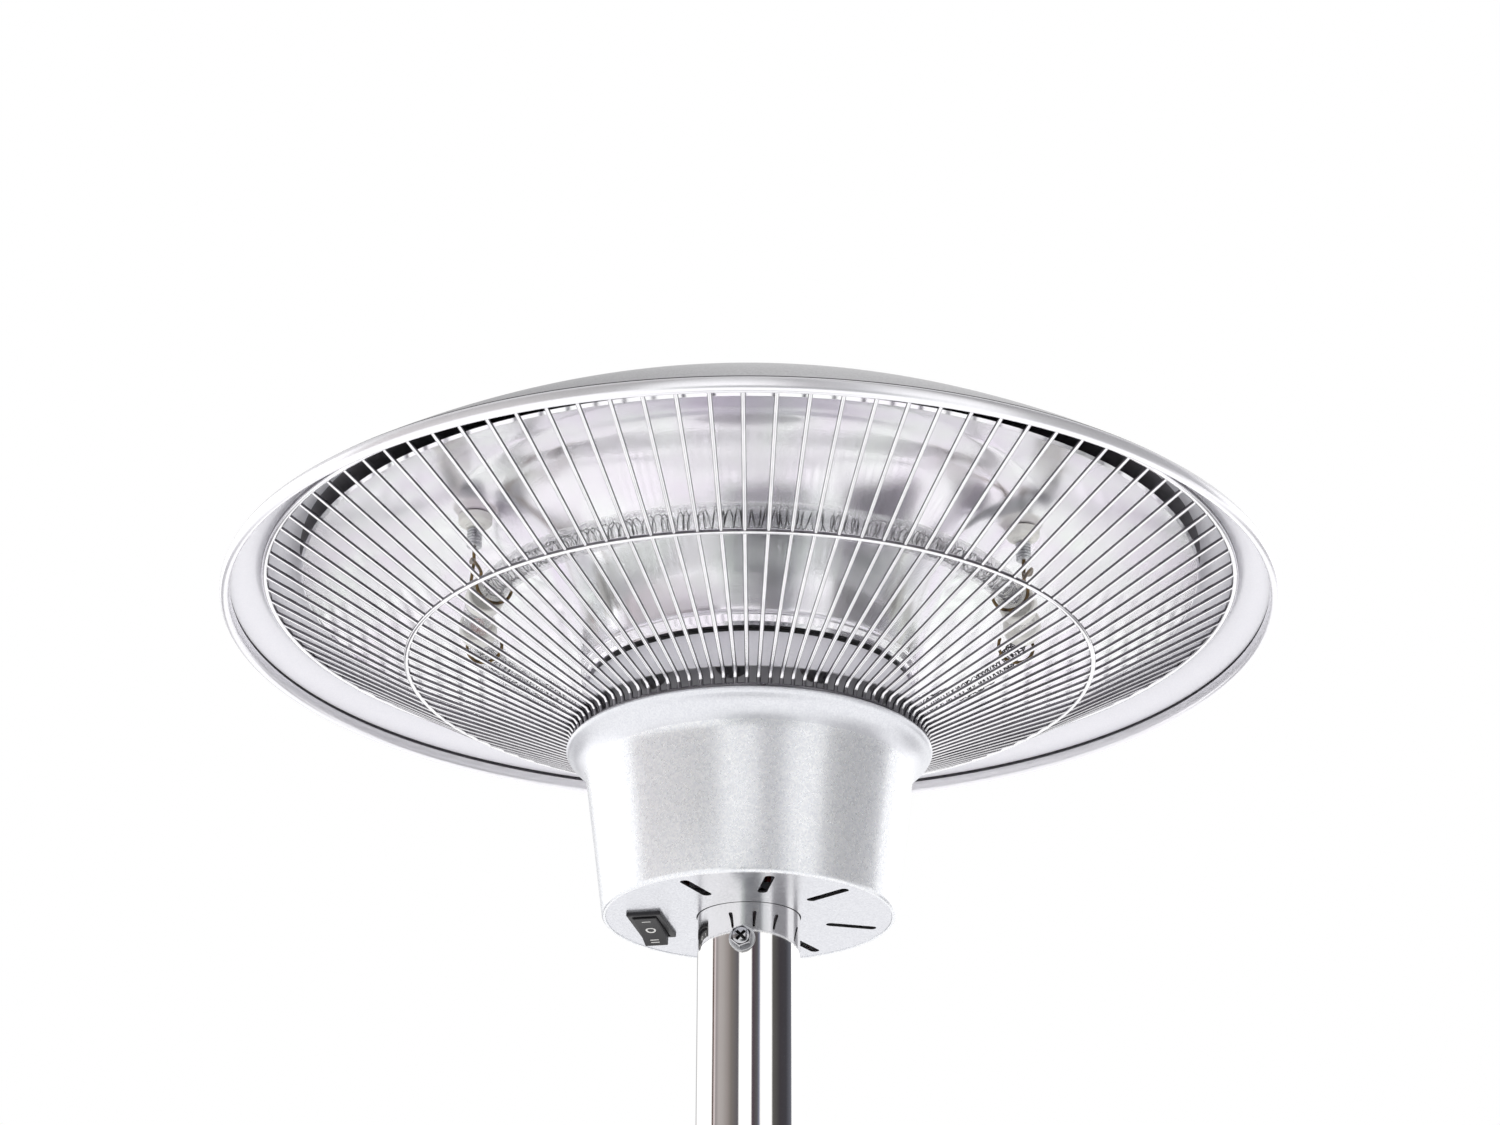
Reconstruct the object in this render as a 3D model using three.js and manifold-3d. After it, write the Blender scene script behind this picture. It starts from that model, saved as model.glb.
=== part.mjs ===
// Free-standing infrared heater: a spun canopy and polished reflector over two ring lamps,
// a conical wire guard, a ventilated hub with a three-position rocker switch, one round post
// and a weighted round base. Lengths are in millimetres, angles in degrees, +Z is up.
// The origin lies under the middle of the base. Heights in the head are measured from the
// plane of the canopy's rim, and heights in the base from the surface that it stands on.

import * as THREE from "three";
import { mergeVertices } from "three/addons/utils/BufferGeometryUtils.js";
import Module from "manifold-3d";

const wasm = await Module();
wasm.setup();

// Driving dimensions
const canopyDiameter = 450;
const canopyRise = 86.5;
const rimHeight = 818;
const postDiameter = 42.4;
const baseDiameter = 344;
const baseHeight = 60;

// Shared fits
const clearance = 0.3;
const slideFit = 0.4;
const overrun = 2;
const mergeDistance = 0.0001;
const tidyDistance = 0.001;

// Canopy
const canopySheet = 1.2;
const rimBeadRadius = 2.4;
const rimBeadTopAngle = 110;
const rimBeadInnerAngle = -200;
const canopyEdgeInset = 4.1;
const canopyEdgeHeight = 3.6;
const canopyFlatRadius = 14;

// Guard
const guardWires = 100;
const guardTurn = -0.8;
const guardWireRadius = 0.95;
const guardRingInset = 18.7;
const guardRingDrop = 3.32;
const guardRingWire = 1.33;
const guardMiddleWire = 1.15;
const guardBendReach = 10.4;
const guardBendRise = 2;
const guardInnerGap = 7.3;
const guardInnerRise = 1.3;
const guardInnerWire = 1;
const guardRingSteps = 50;

// Reflector
const reflectorSheet = 0.8;
const reflectorEdgeInset = 34;
const reflectorEdgeHeight = 15.6;
const reflectorCrownRadius = 119;
const reflectorCrownDrop = 10.55;
const reflectorLandWidth = 17;
const reflectorFootHeight = -28.2;
const reflectorFlangeWidth = 12;

// Hub neck under the reflector
const neckPlateThickness = 3;
const neckBossHeight = 2.7;
const neckGrooveDepth = 7.5;
const neckShoulderReach = 3.2;
const neckSkirtFlare = 7.9;
const neckSkirtDrop = 18.7;
const neckSkirtWall = 1.2;
const neckWireHoleRadius = 5.5;
const neckWireHoleOffset = 24;
const coreWall = 1.2;
const coreWindows = 12;
const coreWindowTurn = -91;
const coreWindowWidth = 14;
const coreWindowRise = 17.5;
const coreWindowDrop = 7.5;

// Hub shell and its bottom plate
const hubLipReach = 8.9;
const hubMouthGap = 7.6;
const hubLipRound = 0.8;
const hubThroatRadius = 68.2;
const hubThroatDrop = 15.5;
const hubBottomRadius = 60.6;
const hubHeight = 72.9;
const hubWall = 1.5;
const hubInturn = 2.2;
const hubInturnThickness = 0.8;
const hubPlateThickness = 1.5;
const ventLength = 19.5;
const ventWidth = 3.4;
const ventInset = 16.6;
const ventCornerSteps = 3;
const ventAngles = [-119, -81, -43.5, 14.5, 58];
const pillarRadius = 3.5;
const pillarInset = 13.45;
const pillarAngles = [-100, 36, 140];

// Rod that carries the canopy
const rodRadius = 4;
const rodFootDrop = 9;
const rodTopRise = 7.5;
const nutFlats = 13;
const nutHeight = 6.5;
const washerRadius = 12;
const washerThickness = 1.6;
const capNutDomeHeight = 7;

// Screws that hold the reflector on the neck
const flangeScrewCount = 3;
const flangeScrewTurn = 30;
const flangeScrewRadius = 2;
const flangeScrewHeadRadius = 3.6;
const flangeScrewHeadHeight = 2;
const flangeScrewLength = 3.6;
const flangeScrewInset = 4.5;

// Ring lamps
const lampInset = 2.7;
const lampHeight = -1.7;
const lampTubeRadius = 6.5;
const lampTubeWall = 1;
const lampFrontAngles = [-163.5, -13.5];
const lampBackAngles = [-4, 181.5];
const lampTubeSteps = 14;
const lampTubeSides = 8;
const capLength = 9;
const capCover = 5.5;
const capFit = 0.8;
const capWall = 1;
const capBossRadius = 3;
const filamentGap = 2.3;
const filamentWire = 0.42;
const filamentCurls = 12;
const filamentStepsPerCurl = 8;
const filamentEndRun = 7;

// Lamp holders
const holderAngles = { left: 183, right: 3 };
const insulatorRadius = 7.4;
const insulatorThickness = 4.6;
const insulatorBossRadius = 4.4;
const insulatorBossHeight = 1.8;
const insulatorSpigotRadius = 3.6;
const insulatorSpigotRise = 3;
const studRadius = 1.8;
const studSleeveRadius = 3.3;
const studSleeveLength = 8.4;
const studRibDepth = 0.55;
const studRibs = 3;
const studNutRadius = 3.8;
const studNutHeight = 3;
const hangerWireRadius = 0.6;
const hangerDrop = 6;
const hangerStartOffset = 1.3;
const hookStart = 40;
const hookStep = 35;
const hookSteps = 7;
const hangerAngles = { frontLeft: -156, frontRight: -21, backLeft: 171, backRight: 8 };

// Rocker switch
const switchInset = 20.2;
const switchCentreY = 8.3;
const switchTurn = -11.1;
const bezelLength = 31.6;
const bezelWidth = 14.4;
const bezelThickness = 2;
const bezelChamfer = 0.6;
const switchBodyLength = 29.2;
const switchBodyWidth = 11.8;
const switchBodyHeight = 18;
const switchWall = 0.7;
const rockerLength = 24.4;
const rockerWidth = 9.8;
const rockerProud = 1.7;
const rockerEndRise = 1.2;
const rockerDepth = 3.4;
const rockerPivotRise = 2;
const rockerAxleRadius = 1.4;
const rockerCavityLength = 27.6;
const rockerCavityDepth = 9;
const rockerTilt = 9.75;
const terminalWidth = 4.8;
const terminalThickness = 0.8;
const terminalLength = 8;
const terminalPitch = 9.5;

// Other electrical pieces in the hub
const blockLength = 30;
const blockDepth = 12;
const blockHeight = 14;
const blockInset = 15.6;
const blockBoreRadius = 2.2;
const tiltLength = 18;
const tiltDepth = 10;
const tiltHeight = 16;
const tiltInset = 14.6;
const tiltAngle = -15;
const supplyLeadRadius = 3.5;
const leadRadius = 1.5;
const leadBend = 14;

// Post, its sockets and its screw
const postWall = 1.5;
const socketWall = 2.8;
const socketFlangeGap = 3.5;
const socketFlangeThickness = 3;
const socketReach = 34;
const postScrewDrop = 16.2;
const postScrewTurn = -97;
const postScrewRadius = 2.5;
const postScrewFlats = 8;
const postScrewHeadHeight = 3.4;
const postScrewReach = 5.6;
const postWasherRadius = 5.4;
const postWasherThickness = 1;
const crossArm = 4.6;
const crossWidth = 1.1;
const crossDepth = 1.4;

// Base
const footHeight = 5;
const footRadius = 11;
const footRingRadius = 142;
const footCount = 3;
const coverSheet = 1.2;
const coverSideHeight = 22;
const coverShoulderInset = 7;
const coverShoulderHeight = 34;
const coverMiddleRadius = 105;
const coverMiddleHeight = 49;
const basePlateThickness = 2;
const weightRadius = 135;
const weightHeight = 20;
const weightBoreRadius = 16;
const weightChannelWidth = 11;
const weightChannelHeight = 12.5;
const flangeRadius = 48;
const flangeThickness = 4;
const flangeSocketReach = 50;
const flangeBoreRadius = 12;
const boltRadius = 4;
const boltHeadFlats = 13;
const boltHeadHeight = 5.3;
const boltLength = 20;
const boltRingRadius = 36;
const boltCount = 3;
const boltTurn = 30;
const grommetFlangeRadius = 6.4;
const grommetFlangeThickness = 1.6;
const grommetBodyRadius = 5;
const grommetLift = 6.8;

// Facets
const canopyFacets = 36;
const wideFacets = 32;
const hubFacets = 28;
const postFacets = 20;
const smallFacets = 10;
const ribFacets = 8;
const wireFacets = 5;
const guardWireFacets = 3;
const coilFacets = 5;
const leadFacets = 6;

// Shares that shape a profile between named sizes
const bendShares = [0, 0.33, 0.67, 1];
const canopyStepShares = [0, 0.4, 0.72, 0.93, 1];
const guardMiddleShare = 0.489;
const reflectorSlopeShares = [0.512, 0.499];
const reflectorWallShares = [[0.598, 0.826], [0.207, 0.44]];
const hubFlareShares = [
  [0.6, 0.15],
  [0.2, 0.5],
];

const radians = THREE.MathUtils.degToRad;

// Materials
const materials = {
  satinSilver: new THREE.MeshStandardMaterial({ color: 0xa9a8ac, roughness: 0.38, metalness: 0.85 }),
  sparkleSilver: new THREE.MeshStandardMaterial({ color: 0xc6cbd3, roughness: 0.34, metalness: 0.75 }),
  mirrorAluminium: new THREE.MeshStandardMaterial({ color: 0xe3e0e6, roughness: 0.12, metalness: 1 }),
  guardSteel: new THREE.MeshStandardMaterial({ color: 0xdcdbe0, roughness: 0.22, metalness: 1 }),
  mirrorSteel: new THREE.MeshStandardMaterial({ color: 0xcfccc9, roughness: 0.1, metalness: 1 }),
  zincSteel: new THREE.MeshStandardMaterial({ color: 0xb9bbbd, roughness: 0.35, metalness: 1 }),
  quartz: new THREE.MeshStandardMaterial({ color: 0xeef1f4, roughness: 0.05, metalness: 0 }),
  filamentSteel: new THREE.MeshStandardMaterial({ color: 0x5b5a5e, roughness: 0.5, metalness: 0.9 }),
  ceramic: new THREE.MeshStandardMaterial({ color: 0xdedcd4, roughness: 0.55, metalness: 0 }),
  darkSteel: new THREE.MeshStandardMaterial({ color: 0x4a4238, roughness: 0.45, metalness: 0.9 }),
  blackPlastic: new THREE.MeshStandardMaterial({ color: 0x29282b, roughness: 0.45, metalness: 0 }),
  brass: new THREE.MeshStandardMaterial({ color: 0xb8954a, roughness: 0.35, metalness: 1 }),
  palePlastic: new THREE.MeshStandardMaterial({ color: 0xe4e1da, roughness: 0.5, metalness: 0 }),
  silicone: new THREE.MeshStandardMaterial({ color: 0xa83a2c, roughness: 0.6, metalness: 0 }),
  blackRubber: new THREE.MeshStandardMaterial({ color: 0x1b1b1c, roughness: 0.8, metalness: 0 }),
  castIron: new THREE.MeshStandardMaterial({ color: 0x3c3b3a, roughness: 0.8, metalness: 0.6 }),
};

// Straight runs between points, with one step of the sweep on each point
class Polyline extends THREE.Curve {
  constructor(points) {
    super();
    this.points = points;
  }

  getPoint(t) {
    const place = Math.min(Math.max(t, 0), 1) * (this.points.length - 1);
    const from = Math.min(Math.floor(place), this.points.length - 2);
    return this.points[from].clone().lerp(this.points[from + 1], place - from);
  }

  getUtoTmapping(u) {
    return u;
  }
}

// Circular arc about the Z axis at one height, between two angles
class LevelArc extends THREE.Curve {
  constructor(radius, height, fromAngle, toAngle) {
    super();
    Object.assign(this, { radius, height, fromAngle, toAngle });
  }

  getPoint(t) {
    return polar(this.radius, THREE.MathUtils.lerp(this.fromAngle, this.toAngle, t), this.height);
  }
}

// Coil wound about a level arc, with a run along the middle of the coil at both ends
class CoiledArc extends THREE.Curve {
  constructor(radius, height, fromAngle, toAngle, coilRadius, curls, endRun) {
    super();
    Object.assign(this, { radius, height, fromAngle, toAngle, coilRadius, curls, endRun });
  }

  getPoint(t) {
    const arcLength = radians(this.toAngle - this.fromAngle) * this.radius;
    const endShare = this.endRun / arcLength;
    const coilShare = THREE.MathUtils.clamp((t - endShare) / (1 - 2 * endShare), 0, 1);
    const swell = Math.min(1, t / endShare - 1, (1 - t) / endShare - 1);
    const reach = this.coilRadius * THREE.MathUtils.smoothstep(swell, 0, 1);
    const turn = 2 * Math.PI * this.curls * coilShare;
    const angle = THREE.MathUtils.lerp(this.fromAngle, this.toAngle, t);
    return polar(this.radius + reach * Math.cos(turn), angle, this.height + reach * Math.sin(turn));
  }

  getUtoTmapping(u) {
    return u;
  }
}

function polar(radius, angle, height) {
  return new THREE.Vector3(
    radius * Math.cos(radians(angle)), radius * Math.sin(radians(angle)), height);
}

function signedVolume(geometry) {
  const place = geometry.attributes.position;
  const index = geometry.index;
  const [a, b, c] = [new THREE.Vector3(), new THREE.Vector3(), new THREE.Vector3()];
  let volume = 0;
  for (let i = 0; i < index.count; i += 3) {
    a.fromBufferAttribute(place, index.getX(i));
    b.fromBufferAttribute(place, index.getX(i + 1));
    c.fromBufferAttribute(place, index.getX(i + 2));
    volume += a.dot(b.cross(c)) / 6;
  }
  return volume;
}

// Joins shared corners, drops collapsed triangles and turns the faces outwards
function weld(geometry) {
  const bare = geometry.clone();
  bare.deleteAttribute("normal");
  bare.deleteAttribute("uv");
  const merged = mergeVertices(bare, mergeDistance);
  const index = [];
  for (let i = 0; i < merged.index.count; i += 3) {
    const corners = [0, 1, 2].map((k) => merged.index.getX(i + k));
    if (new Set(corners).size === 3) index.push(...corners);
  }
  merged.setIndex(index);
  if (signedVolume(merged) < 0) {
    for (let i = 0; i < index.length; i += 3) {
      [index[i + 1], index[i + 2]] = [index[i + 2], index[i + 1]];
    }
    merged.setIndex(index);
  }
  return merged;
}

function toSolid(geometry) {
  const welded = weld(geometry);
  return new wasm.Manifold(new wasm.Mesh({
    numProp: 3,
    vertProperties: new Float32Array(welded.attributes.position.array),
    triVerts: new Uint32Array(welded.index.array),
  }));
}

// Reads a solid back, without the corners that its cuts left along straight edges
function toGeometry(solid) {
  const mesh = solid.asOriginal().simplify(tidyDistance).getMesh();
  const geometry = new THREE.BufferGeometry();
  geometry.setAttribute("position", new THREE.BufferAttribute(mesh.vertProperties, 3));
  geometry.setIndex(new THREE.BufferAttribute(mesh.triVerts, 1));
  return geometry;
}

function cut(geometry, tools) {
  return toGeometry(tools.reduce((body, tool) => body.subtract(toSolid(tool)), toSolid(geometry)));
}

function join(geometries) {
  return toGeometry(geometries.map(toSolid).reduce((body, next) => body.add(next)));
}

// Solid of revolution about +Z from a closed outline of [radius, height] points
function revolve(outline, facets) {
  const points = outline.map(([radius, height]) => new THREE.Vector2(Math.max(radius, 0), height));
  const first = points[0];
  const last = points[points.length - 1];
  if (first.distanceTo(last) > mergeDistance && !(first.x === 0 && last.x === 0)) points.push(first.clone());
  return weld(new THREE.LatheGeometry(points, facets).rotateX(Math.PI / 2));
}

// Outline of a bent sheet: the given side, then the other side set off by the thickness
function sheetOutline(points, thickness) {
  const offset = points.map(([radius, height], i) => {
    const [fromRadius, fromHeight] = points[Math.max(i - 1, 0)];
    const [toRadius, toHeight] = points[Math.min(i + 1, points.length - 1)];
    const run = Math.hypot(toRadius - fromRadius, toHeight - fromHeight);
    const radial = (toHeight - fromHeight) / run;
    const axial = (fromRadius - toRadius) / run;
    return [radius === 0 ? 0 : radius + radial * thickness, height + axial * thickness];
  });
  return [...points, ...offset.reverse()];
}

function circleShape(radius, sides) {
  const corners = [];
  for (let i = 0; i < sides; i += 1) {
    const angle = (2 * Math.PI * i) / sides;
    corners.push(new THREE.Vector2(radius * Math.cos(angle), radius * Math.sin(angle)));
  }
  return new THREE.Shape(corners);
}

function tube(path, radius, sides, steps, bore = 0) {
  const shape = circleShape(radius, sides);
  if (bore > 0) shape.holes.push(new THREE.Path(circleShape(bore, sides).getPoints()));
  return weld(new THREE.ExtrudeGeometry(shape, { steps, extrudePath: path, bevelEnabled: false }));
}

// Upright cylinder between two heights
function cylinder(radius, fromHeight, toHeight, facets = smallFacets) {
  return new THREE.CylinderGeometry(radius, radius, toHeight - fromHeight, facets)
    .rotateX(Math.PI / 2)
    .translate(0, 0, (fromHeight + toHeight) / 2);
}

// Upright hexagon between two heights, measured across its flats
function hexagon(flats, fromHeight, toHeight) {
  return cylinder(flats / 2 / Math.cos(Math.PI / 6), fromHeight, toHeight, 6);
}

// Upright block about a centre in plan, between two heights
function block(sizeX, sizeY, fromHeight, toHeight) {
  return new THREE.BoxGeometry(sizeX, sizeY, toHeight - fromHeight)
    .translate(0, 0, (fromHeight + toHeight) / 2);
}

function atPolar(geometry, radius, angle) {
  return geometry.rotateZ(radians(angle)).translate(...polar(radius, angle, 0).toArray());
}

function addPiece(parent, name, geometry, material) {
  const welded = geometry.attributes.normal ? weld(geometry) : geometry;
  welded.computeVertexNormals();
  const mesh = new THREE.Mesh(welded, material);
  mesh.name = name;
  parent.add(mesh);
  return mesh;
}

// Sizes that several pieces share
const canopyEdgeRadius = canopyDiameter / 2 - canopyEdgeInset;
const canopySag = canopyRise - canopyEdgeHeight;
const canopySphere = (canopyEdgeRadius ** 2 + canopySag ** 2) / (2 * canopySag);
const canopyInnerSphere = canopySphere - canopySheet;
const canopySeat = canopyHeightAt(canopyFlatRadius, canopySphere);
const canopyUnderSeat = canopyHeightAt(canopyFlatRadius, canopyInnerSphere);
const neckTop = reflectorFootHeight - clearance;
const neckShoulderHeight = neckTop - neckBossHeight;
const neckPlateBottom = neckTop - neckPlateThickness;
const neckSkirtHeight = neckShoulderHeight - neckSkirtDrop;
const hubLipHeight = neckSkirtHeight - hubMouthGap;
const hubBottomHeight = hubLipHeight - hubHeight;
const coreRadius = hubThroatRadius - hubWall - slideFit;
const hubLipRadius = hubThroatRadius + hubLipReach;
const neckShoulderRadius = coreRadius + neckShoulderReach;
const neckSkirtRadius = neckShoulderRadius + neckSkirtFlare;
const neckBossRadius = neckShoulderRadius - neckGrooveDepth;
const ventRadius = hubBottomRadius - ventInset;
const pillarRingRadius = (hubBottomRadius + coreRadius) / 2 - pillarInset;
const switchCentreX = switchInset - hubBottomRadius;
const socketFlangeRadius = -switchCentreX - switchBodyWidth / 2 - socketFlangeGap;
const blockOffset = hubBottomRadius - blockInset;
const tiltOffset = hubBottomRadius - tiltInset;
const filamentRadius = lampTubeRadius - lampTubeWall - filamentGap;
const reflectorFootRadius = neckShoulderRadius;
const reflectorEdgeRadius = canopyDiameter / 2 - reflectorEdgeInset;
const reflectorLandInner = reflectorCrownRadius - reflectorLandWidth / 2;
const reflectorLandOuter = reflectorCrownRadius + reflectorLandWidth / 2;
const reflectorCrownHeight = canopyHeightAt(reflectorLandOuter, canopyInnerSphere) - reflectorCrownDrop;
const lampRadius = reflectorCrownRadius - lampInset;
const guardBendRadius = hubLipRadius + guardBendReach;
const guardBendHeight = hubLipHeight + guardBendRise;
const guardInnerRadius = coreRadius + guardInnerGap;
const guardInnerHeight = hubLipHeight + guardInnerRise;
const guardRingRadius = canopyDiameter / 2 - guardRingInset;
const guardRingHeight = canopyHeightAt(guardRingRadius, canopyInnerSphere) - guardRingDrop;
const guardMiddleRadius = THREE.MathUtils.lerp(guardBendRadius, guardRingRadius, guardMiddleShare);
const guardSlope = (guardRingHeight - guardBendHeight) / (guardRingRadius - guardBendRadius);
const guardMiddleHeight = guardBendHeight + guardSlope * (guardMiddleRadius - guardBendRadius);
const reflectorFootTop = reflectorFootHeight + reflectorSheet;
const hubPlateBottom = hubBottomHeight + hubInturnThickness + clearance;
const hubPlateTop = hubPlateBottom + hubPlateThickness;
const postRadius = postDiameter / 2;
const postBore = postRadius - postWall;
const socketRadius = postBore - slideFit;
const socketBore = socketRadius - socketWall;
const postTop = hubPlateBottom - clearance;
const socketFlangeBottom = hubPlateTop + clearance;
const basePlateBottom = footHeight + clearance;
const weightBottom = basePlateBottom + basePlateThickness + clearance;
const weightTop = weightBottom + weightHeight;
const flangeBottom = weightTop + clearance;
const flangeTop = flangeBottom + flangeThickness;
const postBottom = flangeTop + clearance;
const leadLevel = weightBottom + grommetLift - clearance;

function canopyHeightAt(radius, sphere) {
  return canopyRise - canopySphere + Math.sqrt(sphere ** 2 - radius ** 2);
}

// Points of a domed side from the flat at the top out to the edge
function canopySteps(edgeRadius, sphere) {
  return canopyStepShares.map((share) => {
    const radius = THREE.MathUtils.lerp(canopyFlatRadius, edgeRadius, share);
    return [radius, canopyHeightAt(radius, sphere)];
  });
}

// Domed sheet that ends in a rolled bead
function canopyShell() {
  const beadRadius = canopyDiameter / 2 - rimBeadRadius;
  const outer = [[0, canopySeat], ...canopySteps(canopyEdgeRadius, canopySphere)];
  const bead = [];
  const beadSteps = 5;
  for (let i = 0; i <= beadSteps; i += 1) {
    const angle = radians(THREE.MathUtils.lerp(rimBeadTopAngle, rimBeadInnerAngle, i / beadSteps));
    bead.push([
      beadRadius + rimBeadRadius * Math.cos(angle), rimBeadRadius + rimBeadRadius * Math.sin(angle)]);
  }
  const inner = [[0, canopyUnderSeat], ...canopySteps(canopyEdgeRadius - canopySheet, canopyInnerSphere)];
  const shell = revolve([...outer, ...bead, ...inner.reverse()], canopyFacets);
  return cut(shell, [
    cylinder(rodRadius + slideFit, canopyUnderSeat - overrun, canopySeat + overrun),
  ]);
}

// Trough between a steep inner wall and a sloping outer skirt, open downwards, with a flat land
function reflectorLine() {
  return [
    [reflectorEdgeRadius, reflectorEdgeHeight],
    [
      THREE.MathUtils.lerp(reflectorLandOuter, reflectorEdgeRadius, reflectorSlopeShares[0]),
      THREE.MathUtils.lerp(reflectorCrownHeight, reflectorEdgeHeight, reflectorSlopeShares[1])],
    [reflectorLandOuter, reflectorCrownHeight],
    [reflectorLandInner, reflectorCrownHeight],
    ...reflectorWallShares.map(([out, up]) => [
      THREE.MathUtils.lerp(reflectorFootRadius, reflectorLandInner, out),
      THREE.MathUtils.lerp(reflectorFootHeight, reflectorCrownHeight, up)]),
    [reflectorFootRadius, reflectorFootHeight],
    [reflectorFootRadius - reflectorFlangeWidth, reflectorFootHeight],
  ];
}

function reflectorDish() {
  const dish = revolve(sheetOutline(reflectorLine(), reflectorSheet), wideFacets);
  const studHoles = Object.values(holderAngles).map((angle) => atPolar(
    cylinder(insulatorSpigotRadius + clearance, reflectorCrownHeight - overrun, reflectorCrownHeight + overrun),
    reflectorCrownRadius, angle));
  return cut(dish, [...studHoles, ...flangeScrews((angle) => atPolar(
    cylinder(flangeScrewRadius + clearance, reflectorFootHeight - overrun, reflectorFootTop + overrun),
    flangeScrewRing(), angle))]);
}

function flangeScrewRing() {
  return neckBossRadius - flangeScrewInset;
}

function flangeScrews(make) {
  return Array.from({ length: flangeScrewCount }, (unused, i) =>
    make(flangeScrewTurn + (360 * i) / flangeScrewCount, i + 1));
}

// Ring whose square section is turned so that a flat side faces the wires that meet it
function guardRing(radius, height, thickness, slope) {
  const tilt = Math.atan(slope);
  const corners = [0, 1, 2, 3].map((i) => {
    const angle = tilt + Math.PI / 4 + (i * Math.PI) / 2;
    const reach = thickness * Math.SQRT2;
    return [radius + reach * Math.cos(angle), height + reach * Math.sin(angle)];
  });
  return revolve(corners, guardRingSteps).rotateZ(radians(guardTurn - 90 + 180 / guardWires));
}

// Radial wires welded to an outer, a middle and an inner ring
function guard() {
  const wirePath = new Polyline([
    new THREE.Vector3(guardRingRadius, 0, guardRingHeight),
    new THREE.Vector3(guardBendRadius, 0, guardBendHeight),
    new THREE.Vector3(guardInnerRadius, 0, guardInnerHeight),
  ]);
  const wire = tube(wirePath, guardWireRadius, guardWireFacets, 2);
  const innerSlope = (guardBendHeight - guardInnerHeight) / (guardBendRadius - guardInnerRadius);
  const solids = [
    guardRing(guardRingRadius, guardRingHeight, guardRingWire, guardSlope),
    guardRing(guardMiddleRadius, guardMiddleHeight, guardMiddleWire, guardSlope),
    guardRing(guardInnerRadius, guardInnerHeight, guardInnerWire, innerSlope),
  ].map(toSolid);
  for (let i = 0; i < guardWires; i += 1) {
    solids.push(toSolid(wire.clone().rotateZ(radians(guardTurn - 90 + (360 * i) / guardWires))));
  }
  return toGeometry(wasm.Manifold.union(solids));
}

// Plate and skirt that carry the reflector and hang over the hub
function hubNeck() {
  const neck = revolve([
    [rodRadius + slideFit, neckTop],
    [neckBossRadius, neckTop],
    [neckBossRadius, neckShoulderHeight],
    [neckShoulderRadius, neckShoulderHeight],
    [neckSkirtRadius, neckSkirtHeight],
    [neckSkirtRadius - neckSkirtWall, neckSkirtHeight],
    [neckShoulderRadius - neckSkirtWall, neckPlateBottom - neckSkirtWall],
    [neckBossRadius, neckPlateBottom],
    [rodRadius + slideFit, neckPlateBottom],
  ], hubFacets);
  const wireHoles = [-1, 1].map((side) =>
    cylinder(neckWireHoleRadius, neckPlateBottom - overrun, neckTop + overrun)
      .translate(side * neckWireHoleOffset, 0, 0));
  const screwHoles = flangeScrews((angle) => atPolar(
    cylinder(flangeScrewRadius + clearance, neckPlateBottom - overrun, neckTop + overrun),
    flangeScrewRing(), angle));
  return cut(neck, [...wireHoles, ...screwHoles]);
}

// Sleeve with windows between the neck and the throat of the hub shell
function hubCore() {
  const top = neckPlateBottom - neckSkirtWall - clearance;
  const bottom = hubLipHeight - hubThroatDrop;
  const sleeve = revolve([
    [coreRadius - coreWall, bottom],
    [coreRadius, bottom],
    [coreRadius, top],
    [coreRadius - coreWall, top],
  ], hubFacets);
  const windows = [];
  for (let i = 0; i < coreWindows; i += 1) {
    windows.push(atPolar(
      block(coreWall + 2 * overrun, coreWindowWidth, hubLipHeight - coreWindowDrop, hubLipHeight + coreWindowRise),
      coreRadius - coreWall / 2, coreWindowTurn + (360 * i) / coreWindows));
  }
  return cut(sleeve, windows);
}

// Cone with a flared lip at the top and a narrow inturned edge under its plate
function hubShell() {
  const lipBottom = hubLipHeight - hubLipRound;
  const throatHeight = hubLipHeight - hubThroatDrop;
  const flare = hubFlareShares.map(([out, down]) => [
    THREE.MathUtils.lerp(hubThroatRadius, hubLipRadius, out),
    THREE.MathUtils.lerp(lipBottom, throatHeight, down),
  ]);
  const outer = [
    [hubLipRadius - hubLipRound, hubLipHeight],
    [hubLipRadius, lipBottom],
    ...flare,
    [hubThroatRadius, throatHeight],
    [hubBottomRadius, hubBottomHeight],
  ];
  const inner = [...flare, [hubThroatRadius, throatHeight]].map(([radius, height]) =>
    [radius - hubWall, height + hubWall * (radius - hubThroatRadius) / (hubLipRadius - hubThroatRadius)]);
  const inturnTop = hubBottomHeight + hubInturnThickness;
  return revolve([
    ...outer,
    [hubBottomRadius - hubWall - hubInturn, hubBottomHeight],
    [hubBottomRadius - hubWall - hubInturn, inturnTop],
    [hubBottomRadius - hubWall, inturnTop],
    ...inner.reverse(),
  ], hubFacets);
}

// Long hole with round ends, lying along +X about its middle
function ventTool() {
  const half = (ventLength - ventWidth) / 2;
  const shape = new THREE.Shape();
  shape.absarc(half, 0, ventWidth / 2, -Math.PI / 2, Math.PI / 2);
  shape.absarc(-half, 0, ventWidth / 2, Math.PI / 2, (3 * Math.PI) / 2);
  const depth = hubPlateThickness + 2 * overrun;
  return new THREE.ExtrudeGeometry(shape, { depth, curveSegments: ventCornerSteps, bevelEnabled: false })
    .translate(0, 0, hubPlateBottom - overrun);
}

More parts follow.
